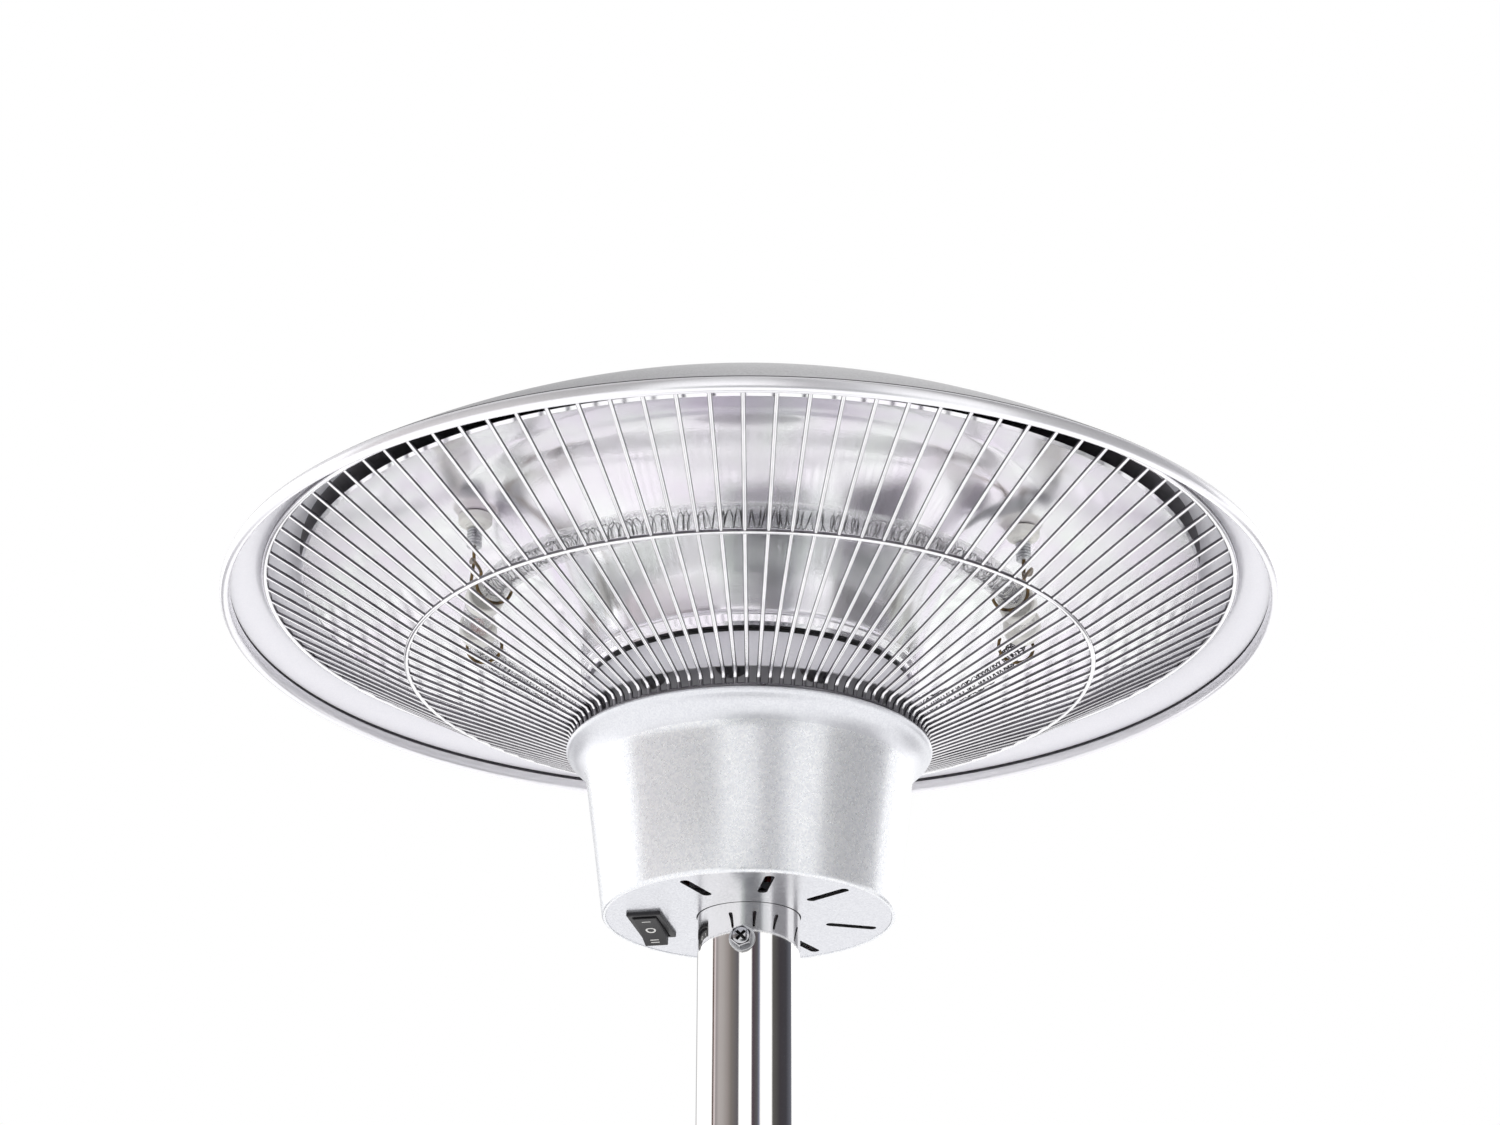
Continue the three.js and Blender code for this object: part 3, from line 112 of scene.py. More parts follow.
@dataclass(frozen=True)
class Coat:
    """The nodes of one finish while they are put together; the place is a point on the piece, in metres."""

    tree: Tree
    shader: Node
    place: Socket

    def feed(self, socket: str, source: Socket) -> None:
        """Links a value to the surface shader."""
        self.tree.links.new(source, self.shader.inputs[socket])

    def mottle(self, grain_mm: float, low: float = 0.0, high: float = 1.0, detail: float = 2.0,
               place: Socket | None = None) -> Socket:
        """Adds a soft noise of a real grain size.

        Args:
            grain_mm: The size of one grain in millimetres.
            low: The value of the darkest grains.
            high: The value of the lightest grains.
            detail: The noise's finer octaves.
            place: Where the noise is read, if not at the coat's own place.

        Returns:
            The socket that gives the value.
        """
        noise = add_node(self.tree, "ShaderNodeTexNoise", {
            "Vector": place or self.place, "Scale": 1 / (grain_mm * MM), "Detail": detail}, "Fac")
        return add_node(self.tree, "ShaderNodeMapRange", {
            "Value": noise, "From Min": 0.3, "From Max": 0.7, "To Min": low, "To Max": high})

    def tint(self, value: Socket, dark: str, light: str) -> None:
        """Colours the surface between two shades.

        Args:
            value: From 0, dark, to 1, light.
            dark: The colour at 0.
            light: The colour at 1.
        """
        self.feed("Base Color", add_node(self.tree, "ShaderNodeMix", {0: value, 6: linear(dark), 7: linear(light)}, 2,
                                         data_type="RGBA"))

    def bump(self, value: Socket, depth_mm: float) -> None:
        """Raises the surface by a value.

        Args:
            value: The height, from 0 to 1.
            depth_mm: The height of 1 in millimetres.
        """
        self.feed("Normal", add_node(self.tree, "ShaderNodeBump", {
            "Height": value, "Strength": 1.0, "Distance": depth_mm * MM}))


@dataclass(frozen=True)
class Finish:
    """A plain even surface, and the base of every other finish."""

    name: str
    colour: str
    metallic: float = 0.0
    roughness: float = 0.5
    ior: float = 1.5
    sockets: tuple[tuple[str, float], ...] = ()

    def build(self) -> bpy.types.Material:
        """Makes the material, or finds the one made before.

        Returns:
            The material.
        """
        made = bpy.data.materials.get(self.name)
        if made:
            return made
        made = bpy.data.materials.new(self.name)
        made.use_nodes = True
        tree = made.node_tree
        shader = tree.nodes["Principled BSDF"]
        shader.inputs["Base Color"].default_value = linear(self.colour)
        for socket, value in (("Metallic", self.metallic), ("Roughness", self.roughness), ("IOR", self.ior),
                              *self.sockets):
            shader.inputs[socket].default_value = value
        self.dress(Coat(tree, shader, add_node(tree, "ShaderNodeTexCoord", out="Object")))
        return made

    def dress(self, coat: Coat) -> None:
        """Adds the pattern of the finish; an even surface has none."""


@dataclass(frozen=True)
class FlakePaint(Finish):
    """Sprayed metallic paint: fine aluminium flakes that glint one by one under a thin clear coat."""

    dark: str = "#b9bdc4"
    light: str = "#e3e6ea"
    flake_mm: float = 0.55
    flake_depth_mm: float = 0.012
    cloud_mm: float = 3.0

    def dress(self, coat: Coat) -> None:
        """Adds the flakes' glint, painted as lighter and darker flakes, and their tilt; drawn coarser than the real
        0.05 mm so that they show.

        Args:
            coat: The finish's nodes.
        """
        cells = add_node(coat.tree, "ShaderNodeTexVoronoi", {"Vector": coat.place, "Scale": 1 / (self.flake_mm * MM)},
                         "Color")
        # Each flake's colour, lighter or darker at random, is a painted glint.
        glint = add_node(coat.tree, "ShaderNodeRGBToBW", {"Color": cells})
        coat.tint(glint, self.dark, self.light)
        coat.bump(glint, self.flake_depth_mm)
        coat.feed("Roughness", coat.mottle(self.cloud_mm, self.roughness * 0.92, self.roughness * 1.08))


@dataclass(frozen=True)
class SpunMetal(Finish):
    """Polished sheet spun on a lathe: fine rings about the upright axis and cloudy patches of tint."""

    dark: str = "#f6f0f9"
    light: str = "#fbfefc"
    ring_mm: float = 1.1
    ring_depth_mm: float = 0.004
    patch_mm: float = 38.0

    def dress(self, coat: Coat) -> None:
        """Adds the lathe's rings and the patches of tint and of haze.

        Args:
            coat: The finish's nodes.
        """
        split = add_node(coat.tree, "ShaderNodeSeparateXYZ", {"Vector": coat.place}).node.outputs
        flat = add_node(coat.tree, "ShaderNodeCombineXYZ", {"X": split["X"], "Y": split["Y"]})
        radius = add_node(coat.tree, "ShaderNodeVectorMath", {0: flat}, "Value", operation="LENGTH")
        across = add_node(coat.tree, "ShaderNodeCombineXYZ", {"X": radius, "Y": split["Z"]})
        coat.bump(coat.mottle(self.ring_mm, detail=4.0, place=across), self.ring_depth_mm)
        coat.tint(coat.mottle(self.patch_mm, detail=3.0), self.dark, self.light)
        coat.feed("Roughness", coat.mottle(self.patch_mm * 0.6, self.roughness * 0.7, self.roughness * 1.4, 3.0))


@dataclass(frozen=True)
class DrawnMetal(Finish):
    """Drawn, plated or turned metal: slight change of shade and of gloss along the surface."""

    dark: str = "#b4b4b6"
    light: str = "#e2e2e4"
    patch_mm: float = 6.0
    grain_mm: float = 0.8
    grain_depth_mm: float = 0.003

    def dress(self, coat: Coat) -> None:
        """Adds patches of shade and haze and a fine grain.

        Args:
            coat: The finish's nodes.
        """
        coat.tint(coat.mottle(self.patch_mm), self.dark, self.light)
        coat.feed("Roughness", coat.mottle(self.patch_mm * 0.5, self.roughness * 0.8, self.roughness * 1.25, 3.0))
        coat.bump(coat.mottle(self.grain_mm, detail=3.0), self.grain_depth_mm)


@dataclass(frozen=True)
class Moulded(Finish):
    """Moulded plastic, rubber or fired ceramic: a fine grain with slight change of shade."""

    dark: str = "#262528"
    light: str = "#343337"
    grain_mm: float = 0.6
    grain_depth_mm: float = 0.02
    patch_mm: float = 9.0

    def dress(self, coat: Coat) -> None:
        """Adds the mould's grain and the patches of shade."""
        coat.tint(coat.mottle(self.patch_mm), self.dark, self.light)
        coat.bump(coat.mottle(self.grain_mm, detail=3.0), self.grain_depth_mm)


@dataclass(frozen=True)
class Quartz(Finish):
    """Clear fused quartz: colourless and very clean, with faint waves left by the drawing of the tube."""

    wave_mm: float = 7.0
    wave_depth_mm: float = 0.05

    def dress(self, coat: Coat) -> None:
        """Adds the faint waves."""
        coat.bump(coat.mottle(self.wave_mm, detail=1.0), self.wave_depth_mm)


class Dress(Enum):
    """The finishes of this heater, each named for what the real surface is, or for the light or shade painted into it.

    Flakes, grain and haze measure 0.02 to 0.1 mm on the real surfaces. They are drawn 5 to 20 times coarser,
    at the millimetres each line gives, because they would not show at the picture's size.
    """

    # Sheet sprayed with silver metallic paint: a soft sheen with flakes that sparkle one by one. The flakes are
    # drawn coarser than real.
    CANOPY_PAINT = FlakePaint("silver_canopy_paint", "#cbcace", 0.7, 0.34, 1.5, (("Coat Weight", 0.25),),
                              "#b7b6ba", "#dfdee2", 0.6, 0.014)
    # The same paint on the rolled bead, made near white as a painted highlight: a smooth bright line round the rim.
    ROLLED_BEAD = FlakePaint("painted_highlight_bead", "#f8f7fb", 0.6, 0.24, 1.5, (), "#f5f4f8", "#fbfafe", 0.6, 0.001)
    # Silver paint on faces that look down, made paler as painted light from below: even and softly glossy, with hardly
    # any sparkle.
    INSIDE_PAINT = FlakePaint("painted_underlight_silver", "#f8f7fd", 0.15, 0.42, 1.5, (("Coat Weight", 0.15),),
                              "#f5f4fa", "#fbfaff", 0.6, 0.002)
    # Silver metallic paint sprayed heavily: a pearly, grainy glitter. The flakes are drawn coarser than real.
    HUB_PAINT = FlakePaint("silver_flake_paint", "#fafbfe", 0.56, 0.28, 1.5, (("Coat Weight", 0.15),),
                           "#dde0e7", "#ffffff", 0.55, 0.034)
    # The same paint on the flared lip, made greyer as painted shade: smoother, with less sparkle.
    LIP_PAINT = FlakePaint("painted_shade_lip_silver", "#e3e4e9", 0.55, 0.34, 1.5, (("Coat Weight", 0.15),),
                           "#dadbe1", "#ebecf0", 0.62, 0.016)
    # The same paint on the vented plate, made greyer as painted shade and more even. The flakes are drawn coarser than
    # real.
    PLATE_PAINT = FlakePaint("painted_shade_plate_silver", "#d7d8de", 0.85, 0.24, 1.5, (("Coat Weight", 0.15),),
                             "#cccdd4", "#e2e3e8", 0.62, 0.014)
    # Grey primer where the silver stops, darkened as painted shade in the hollow above the reflector: flat grey
    # without gloss. Its grain is drawn coarser than real.
    PRIMER = Moulded("grey_primer_painted_shade", "#7b797e", 0.0, 0.6, 1.5, (), "#747277", "#828085", 0.9, 0.01)
    # Painted shade on the faces of the narrow gap inside the bead, where the sheet folds in: dark, rough grey.
    BARE_EDGE = DrawnMetal("painted_shade_groove", "#5a585d", 0.6, 0.55, 1.5, (), "#504e53", "#666469", 3.0)
    # Painted deep shade on the walls of the punched slots and in the screw's recess: nearly black and dull.
    PUNCHED_EDGE = DrawnMetal("painted_deep_shade", "#2c2b2e", 0.4, 0.6, 1.5, (), "#242326", "#353437", 3.0)
    # Aluminium spun on a lathe and polished: a soft mirror with fine rings and cloudy patches. The rings are
    # drawn coarser than real.
    SPUN_ALUMINIUM = SpunMetal("spun_polished_aluminium", "#f3f1f4", 1.0, 0.17)
    # Wire with bright nickel plating: crisp, nearly white highlights along each wire.
    PLATED_WIRE = DrawnMetal("nickel_plated_wire", "#f5f4f7", 1.0, 0.16, 1.5, (), "#efeef1", "#fbfafc", 9.0)
    # The same plating on the wires' flanks, painted darker grey as shade: satin.
    TINTED_WIRE = DrawnMetal("painted_shade_wire_flank", "#77757a", 1.0, 0.3, 1.5, (), "#69676c", "#868489", 9.0)
    # Stainless tube polished to a mirror: clear reflections under the faintest haze.
    MIRROR_STEEL = DrawnMetal("mirror_polished_stainless", "#fbfaf9", 1.0, 0.05, 1.5, (),
                              "#f6f4f2", "#fdfcfb", 30.0, 1.2, 0.0006)
    # Cut or pressed steel with bright zinc: light grey with soft patches of shade.
    ZINC_STEEL = DrawnMetal("bright_zinc_plated_steel", "#c3c4c6", 1.0, 0.3, 1.5, (), "#b1b2b5", "#d6d7d9")
    # Fused quartz, drawn and fire-polished: clear and colourless with crisp edges. Alpha lets most of the light
    # straight through, as its thin wall does.
    QUARTZ = Quartz("clear_fused_quartz", "#fcfdfe", 0.0, 0.03, 1.458,
                    (("Transmission Weight", 1.0), ("Alpha", 0.3)))
    # Drawn alloy wire, oxidised by use: dark grey with a dull metal sheen.
    RESISTANCE_WIRE = DrawnMetal("drawn_resistance_wire", "#403e42", 0.7, 0.42, 1.5, (), "#353337", "#4d4b4f", 4.0)
    # Pressed and fired steatite: warm white, matt and finely grained. The grain is drawn coarser than real.
    CERAMIC = Moulded("white_steatite_ceramic", "#f4f2ed", 0.0, 0.45, 1.55, (), "#edebe5", "#faf9f5", 0.7, 0.02)
    # Plated and polished screw head: small sharp highlights on a light grey.
    BRIGHT_SCREW = DrawnMetal("bright_chromated_steel", "#c2c2c5", 1.0, 0.15, 1.5, (), "#b5b5b8", "#cfcfd2", 2.0)
    # Spring steel beside the lamps: straw to brown patches of heat tint on dull metal.
    HOT_STEEL = DrawnMetal("heat_tinted_spring_steel", "#5b5042", 1.0, 0.36, 1.5, (), "#3a342e", "#8a7350", 2.5)
    # Galvanised sheet left bare inside: dull pale grey with wide faint patches.
    DARK_SHEET = DrawnMetal("dull_galvanised_sheet", "#cfced2", 0.4, 0.45, 1.5, (), "#c2c1c5", "#dad9dd", 12.0)
    # Nylon from a spark-eroded mould: black with a fine matt grain. The grain is drawn coarser than real.
    BLACK_NYLON = Moulded("black_moulded_nylon", "#1d1c1f", 0.0, 0.5, 1.46, (), "#18171a", "#242327", 0.5, 0.014)
    # Pad-printed marks: flat pale grey, level with the plastic.
    PRINT = Moulded("pale_switch_print", "#dcdbd9", 0.0, 0.5, 1.5, (), "#d2d1cf", "#e6e5e3", 0.6, 0.004)
    # Stamped brass tabs: yellow metal, slightly uneven.
    BRASS = DrawnMetal("stamped_brass", "#b8954a", 1.0, 0.32, 1.5, (), "#a8853c", "#cbab63", 3.0)
    # Nylon without colour: milky white that lets a little light in.
    PALE_NYLON = Moulded("natural_nylon", "#e1ded6", 0.0, 0.45, 1.53, (("Subsurface Weight", 0.1),),
                         "#d8d5cc", "#e9e7e0")
    # Silicone sleeve: dull brick red with a soft skin.
    SILICONE = Moulded("red_silicone_sleeve", "#a33628", 0.0, 0.5, 1.41, (), "#8f2d20", "#b54233", 0.8, 0.02)
    # Moulded rubber: black, matt and dusty at the grain. The grain is drawn coarser than real.
    BLACK_RUBBER = Moulded("black_nitrile_rubber", "#1c1c1d", 0.0, 0.7, 1.52, (), "#171718", "#232324", 0.9, 0.03)
    # Iron as cast: dark, rough and sandy. The sand grain is drawn coarser than real.
    CAST_IRON = Moulded("raw_cast_iron", "#3d3c3b", 0.6, 0.75, 1.5, (), "#323130", "#4a4847", 1.6, 0.12)


def dress(piece: Piece, finish: Dress) -> None:
    """Gives a piece one finish all over."""
    piece.data.materials.clear()
    piece.data.materials.append(finish.value.build())


def paint_faces(piece: Piece, choose: Callable[[Face], Dress | None], *others: Dress) -> None:
    """Gives some faces of a dressed piece another finish.

    Args:
        piece: The object.
        choose: Gives a face's other finish, or None where it keeps the piece's own.
        others: The other finishes, in the order of their slots.
    """
    for finish in others:
        piece.data.materials.append(finish.value.build())
    for face in piece.data.polygons:
        finish = choose(face)
        face.material_index = 0 if finish is None else others.index(finish) + 1


def reach(face: Face) -> float:
    """Gives a face's distance from the upright axis in millimetres."""
    return math.hypot(face.center.x, face.center.y) / MM


def level(face: Face) -> float:
    """Gives a face's height over the canopy's rim in millimetres."""
    return face.center.z / MM - RIM


# Modelling

def deselect() -> None:
    """Leaves edit mode and deselects every object."""
    if bpy.context.mode != "OBJECT":
        bpy.ops.object.mode_set(mode="OBJECT")
    bpy.ops.object.select_all(action="DESELECT")


def add(operator: Callable, **options: object) -> Piece:
    """Adds an object by one of Blender's operators.

    Args:
        operator: The operator.
        options: Its settings.

    Returns:
        The new object.
    """
    deselect()
    operator(**options)
    return bpy.context.object


def activate(piece: Piece) -> None:
    """Selects one object alone and makes it active.

    Args:
        piece: The object.
    """
    deselect()
    piece.select_set(True)
    bpy.context.view_layer.objects.active = piece


def edit(piece: Piece, action: str = "SELECT") -> None:
    """Opens a piece in edit mode.

    Args:
        piece: The object.
        action: SELECT to select all of its mesh, DESELECT to select none.
    """
    activate(piece)
    bpy.ops.object.mode_set(mode="EDIT")
    bpy.ops.mesh.select_all(action=action)


def settle(piece: Piece, name: str, angle: float = 32.0) -> Piece:
    """Puts a shaped piece's place into its mesh, cleans it and smooths it.

    Args:
        piece: The object, in any mode.
        name: Its final name.
        angle: Edges sharper than this many degrees stay crisp.

    Returns:
        The same object.
    """
    edit(piece)
    bpy.ops.mesh.remove_doubles(threshold=SAME_PLACE)
    bpy.ops.mesh.normals_make_consistent(inside=False)
    bpy.ops.object.mode_set(mode="OBJECT")
    bpy.ops.object.transform_apply(location=True, rotation=True, scale=True)
    bpy.ops.object.shade_smooth_by_angle(angle=math.radians(angle))
    piece.name = piece.data.name = name
    return piece


def turn_profile(name: str, profile: Profile, segments: int = 128, angle: float = 32.0) -> Piece:
    """Models a turned piece: a circle drawn out ring by ring along its profile.

    Args:
        name: The piece's name.
        profile: Radius and height of each ring in millimetres; a radius of 0 closes the piece.
        segments: The number of steps round.
        angle: Edges sharper than this many degrees stay crisp.

    Returns:
        The piece, about the upright axis.
    """
    rings = [(max(radius, POINT_RADIUS) * MM, height * MM) for radius, height in profile]
    piece = add(bpy.ops.mesh.primitive_circle_add, vertices=segments, radius=rings[0][0],
                location=(0, 0, rings[0][1]))
    edit(piece)
    for (radius, height), (wider, higher) in zip(rings, rings[1:]):
        bpy.ops.mesh.extrude_region_move(TRANSFORM_OT_translate={"value": (0, 0, higher - height)})
        share = wider / radius
        bpy.ops.transform.resize(value=(share, share, 1), center_override=(0, 0, higher))
    return settle(piece, name, angle)


def block(name: str, size: Triple, middle: float, along: float = 0.0) -> Piece:
    """Models a block with upright sides.

    Args:
        name: Its name.
        size: Length, width and height in millimetres.
        middle: The level of its middle.
        along: The place of its middle on the X axis.

    Returns:
        The block.
    """
    piece = add(bpy.ops.mesh.primitive_cube_add, size=1, location=(along * MM, 0, middle * MM))
    piece.scale = tuple(side * MM for side in size)
    return settle(piece, name)


def smooth_line(corners: list, steps: int = 5) -> list:
    """Runs a smooth line through corners.

    Args:
        corners: The points that it passes, as tuples or as vectors.
        steps: Points to each stretch.

    Returns:
        The points of the line, of the corners' own type.
    """
    kind, last = type(corners[0]), len(corners) - 1
    line = []
    for i in range(last):
        near = [corners[min(max(i + k, 0), last)] for k in (-1, 0, 1, 2)]
        for t in (step / steps for step in range(steps)):
            line.append(kind([
                0.5 * (2 * b + (c - a) * t + (2 * a - 5 * b + 4 * c - d) * t * t + (3 * b - a - 3 * c + d) * t ** 3)
                for a, b, c, d in zip(*near)]))
    return [*line, corners[-1]]


def sheet_profile(line: Profile, thickness: float) -> Profile:
    """Closes a line into the outline of a bent sheet.

    Args:
        line: One side of the sheet.
        thickness: How far the other side lies, to the left of the line's run if positive.

    Returns:
        The closed outline.
    """
    other: Profile = []
    for i, (radius, height) in enumerate(line):
        before, after = line[max(i - 1, 0)], line[min(i + 1, len(line) - 1)]
        run = math.hypot(after[0] - before[0], after[1] - before[1])
        other.append((radius - (after[1] - before[1]) / run * thickness,
                      height + (after[0] - before[0]) / run * thickness))
    return [*line, *reversed(other), line[0]]


def round_wire(name: str, points: list[Vector], radius: float, roundness: int = 3) -> Piece:
    """Models a round wire along points.

    Args:
        name: The piece's name.
        points: The points of its middle line in millimetres.
        radius: Its radius in millimetres.
        roundness: Extra steps in each half of its section.

    Returns:
        The wire as a mesh.
    """
    piece = add(bpy.ops.curve.primitive_bezier_curve_add)
    curve = piece.data
    curve.splines.clear()
    spline = curve.splines.new("POLY")
    spline.points.add(len(points) - 1)
    for place, point in zip(spline.points, points):
        place.co = (*(point * MM), 1)
    curve.dimensions = "3D"
    curve.bevel_depth = radius * MM
    curve.bevel_resolution = roundness
    curve.use_fill_caps = True
    bpy.ops.object.convert(target="MESH")
    return settle(piece, name, 60.0)


def polar(radius: float, angle: float, height: float) -> Vector:
    """Gives a point by radius, angle in degrees and height."""
    return Vector((radius * math.cos(math.radians(angle)), radius * math.sin(math.radians(angle)), height))


def shift(x: float, y: float, z: float) -> Matrix:
    """Gives a move by three measures in millimetres."""
    return Matrix.Translation((x * MM, y * MM, z * MM))


def turned(angle: float, axis: str = "Z") -> Matrix:
    """Gives a turn in degrees about an axis."""
    return Matrix.Rotation(math.radians(angle), 4, axis)


TO_RIM = shift(0, 0, RIM)


def move(piece: Piece, matrix: Matrix) -> Piece:
    """Moves a finished piece and puts its new place into its mesh.

    Args:
        piece: The object.
        matrix: The move, in metres.

    Returns:
        The same object.
    """
    activate(piece)
    piece.matrix_world = matrix @ piece.matrix_world
    bpy.ops.object.transform_apply(location=True, rotation=True, scale=True)
    return piece


def twin(piece: Piece, name: str) -> Piece:
    """Copies a piece, with a mesh of its own.

    Args:
        piece: The object.
        name: The copy's name.

    Returns:
        The copy.
    """
    activate(piece)
    bpy.ops.object.duplicate()
    copy = bpy.context.object
    copy.name = copy.data.name = name
    return copy


def apply_modifier(piece: Piece, kind: str, **settings: object) -> None:
    """Changes a piece's mesh by a modifier.

    Args:
        piece: The object.
        kind: The modifier's type name.
        settings: Its settings.
    """
    activate(piece)
    modifier = piece.modifiers.new(kind, kind)
    for name, value in settings.items():
        setattr(modifier, name, value)
    bpy.ops.object.modifier_apply(modifier=modifier.name)


def bevel_edges(piece: Piece, width: float, segments: int = 3, angle: float = 40.0) -> None:
    """Rounds a piece's sharp edges.

    Args:
        piece: The object.
        width: The width of the rounding in millimetres.
        segments: Steps across it.
        angle: Only edges sharper than this many degrees are rounded.
    """
    apply_modifier(piece, "BEVEL", width=width * MM, segments=segments, limit_method="ANGLE",
                   angle_limit=math.radians(angle))


class Boolean(Enum):
    """What a second shape does to the first."""

    CUT = "DIFFERENCE"
    ADD = "UNION"


def combine(piece: Piece, tool: Piece, how: Boolean = Boolean.CUT) -> None:
    """Cuts a second shape out of a piece, or adds it, and removes the second.

    Args:
        piece: The object that stays.
        tool: The second shape.
        how: Cut or add.
    """
    apply_modifier(piece, "BOOLEAN", object=tool, operation=how.value, solver="EXACT")
    bpy.data.objects.remove(tool)


def carve_round(piece: Piece, tool: Piece, angles: Iterable[float]) -> None:
    """Cuts a shape out of a piece at several turns about the upright axis.

    Args:
        piece: The object that is cut.
        tool: The shape, at a turn of 0; it is removed.
        angles: The turns in degrees.
    """
    for angle in angles:
        combine(piece, move(twin(tool, "turned_tool"), turned(angle)))
    bpy.data.objects.remove(tool)


def join(name: str, parts: list[Piece]) -> Piece:
    """Joins several meshes into one piece.

    Args:
        name: The piece's name.
        parts: The meshes.

    Returns:
        The joined piece.
    """
    activate(parts[0])
    for part in parts:
        part.select_set(True)
    bpy.ops.object.join()
    parts[0].name = parts[0].data.name = name
    return parts[0]


def fit(piece: Piece, finish: Dress | None, slot: str, *nodes: str, at: Matrix = TO_RIM, body: str = HEATER) -> Piece:
    """Finishes a piece, moves it to its place, ties it to its body and hides the solids that it stands for.

    Args:
        piece: The object.
        finish: Its finish, or None if it is dressed already.
        slot: The record's material slot; not used.
        nodes: The solids that it stands for.
        at: The move to its place, in metres.
        body: The body that it rides on.

    Returns:
        The same object.
    """
    move(piece, at)
    if finish:
        dress(piece, finish)
    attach(piece, body)
    if nodes:
        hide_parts(*nodes)
    LOG.info("%s: %d faces", piece.name, len(piece.data.polygons))
    return piece


# Sub-assemblies. Profiles give radius and height in millimetres.

@dataclass
class Canopy:
    """The domed sheet with the rolled bead round its rim."""

    rise: float = 86.5
    edge_radius: float = 223.4
    edge_height: float = 6.5
    dip: float = 3.3
    sheet: float = 1.2
    flat_radius: float = 14.0
    outer_end: float = 222.6
    inner_end: float = 220.4
    steps: int = 30
    hem: Profile = field(default_factory=lambda: [
        (223.6, 6.2), (224.5, 5.5), (225.1, 4.2), (225.2, 2.6), (224.9, 1.2), (224.1, 0.3), (223.0, 0.0), (222.0, 0.3),
        (221.3, 1.2), (221.0, 2.6), (220.9, 4.2), (220.95, 5.3)])
    gap: Profile = field(default_factory=lambda: [(221.4, 5.6), (222.0, 6.1), (222.0, 6.6), (221.3, 6.95)])
    # Where the finishes change: inside this radius the primer and painted shade, above the dome's level the sheet's
    # two sides, painted light below, and over the gap's level, inside its radius, the folded edge, painted shade past
    # its wall.
    paint_radius: float = 191.0
    dome_level: float = 6.98
    gap_level: float = 5.35
    gap_radius: float = 223.15
    gap_wall: float = 221.0
    under: float = -0.2

    def dome(self, edge: float, inset: float) -> Profile:
        """Gives one side of the dome.

        Args:
            edge: The radius at which it ends.
            inset: How far it lies inside the outer side.

        Returns:
            Points from the top to the edge.
        """
        sag = self.rise - self.edge_height
        sphere = (self.edge_radius ** 2 + sag ** 2) / (2 * sag)
        side = []
        for i in range(self.steps + 1):
            radius = self.flat_radius + (edge - self.flat_radius) * i / self.steps
            share = (radius / self.edge_radius) ** 2
            shoulder = 4 * self.dip * share * (1 - share)
            side.append((radius, self.rise - sphere + math.sqrt((sphere - inset) ** 2 - radius ** 2) - shoulder))
        return [(0.0, side[0][1]), *side]

    def face_finish(self, face: Face) -> Dress | None:
        """Chooses the painted shade of the primer or groove, the underside's painted light or the bead's painted
        highlight for a face.

        Args:
            face: A face of the finished canopy.

        Returns:
            Its finish, or None for the outer paint.
        """
        under = face.normal.z < self.under
        if reach(face) < self.paint_radius:
            return Dress.PRIMER if under else None
        if level(face) > self.dome_level:
            return Dress.INSIDE_PAINT if under else None
        if level(face) > self.gap_level and reach(face) < self.gap_radius:
            return Dress.BARE_EDGE if reach(face) > self.gap_wall else Dress.INSIDE_PAINT
        return Dress.ROLLED_BEAD

    def build(self) -> None:
        """Models and dresses the canopy."""
        outer = [*self.dome(self.outer_end, 0.0), (222.8, 6.6), (222.8, 6.1), *smooth_line(self.hem, 2), *self.gap]
        inner = reversed(self.dome(self.inner_end, self.sheet))
        shell = turn_profile("canopy_dome", [*outer, *inner], 256)
        fit(shell, Dress.CANOPY_PAINT, "satin_silver", "canopy_shell")
        # The faces take painted shade, painted light from below and a painted highlight on the bead.
        paint_faces(shell, self.face_finish, Dress.INSIDE_PAINT, Dress.BARE_EDGE, Dress.ROLLED_BEAD, Dress.PRIMER)


@dataclass
class Reflector:
    """The polished trough over the lamps, with its flange on the neck."""

    sheet: float = 0.8
    trough: Profile = field(default_factory=lambda: [
        (191.0, 15.4), (190.2, 16.2), (176.0, 24.2), (160.0, 32.4), (145.0, 40.3), (132.5, 46.4),
        (126.0, 48.9), (119.0, 49.5), (112.0, 48.9), (105.5, 46.0), (98.0, 40.0), (90.0, 29.5),
        (83.0, 16.5), (77.5, 2.5), (73.6, -12.0), (71.3, -21.6), (71.7, -22.6), (71.8, -24.0), (71.0, -25.2),
        (70.0, -26.6), (69.5, -28.2)])
    flange: Profile = field(default_factory=lambda: [(67.5, -28.2), (57.5, -28.2)])

    def build(self) -> None:
        """Models and dresses the reflector."""
        line = [*smooth_line(self.trough), *self.flange]
        dish = turn_profile("reflector_trough", sheet_profile(line, -self.sheet), 192)
        fit(dish, Dress.SPUN_ALUMINIUM, "mirror_aluminium", "reflector_dish")


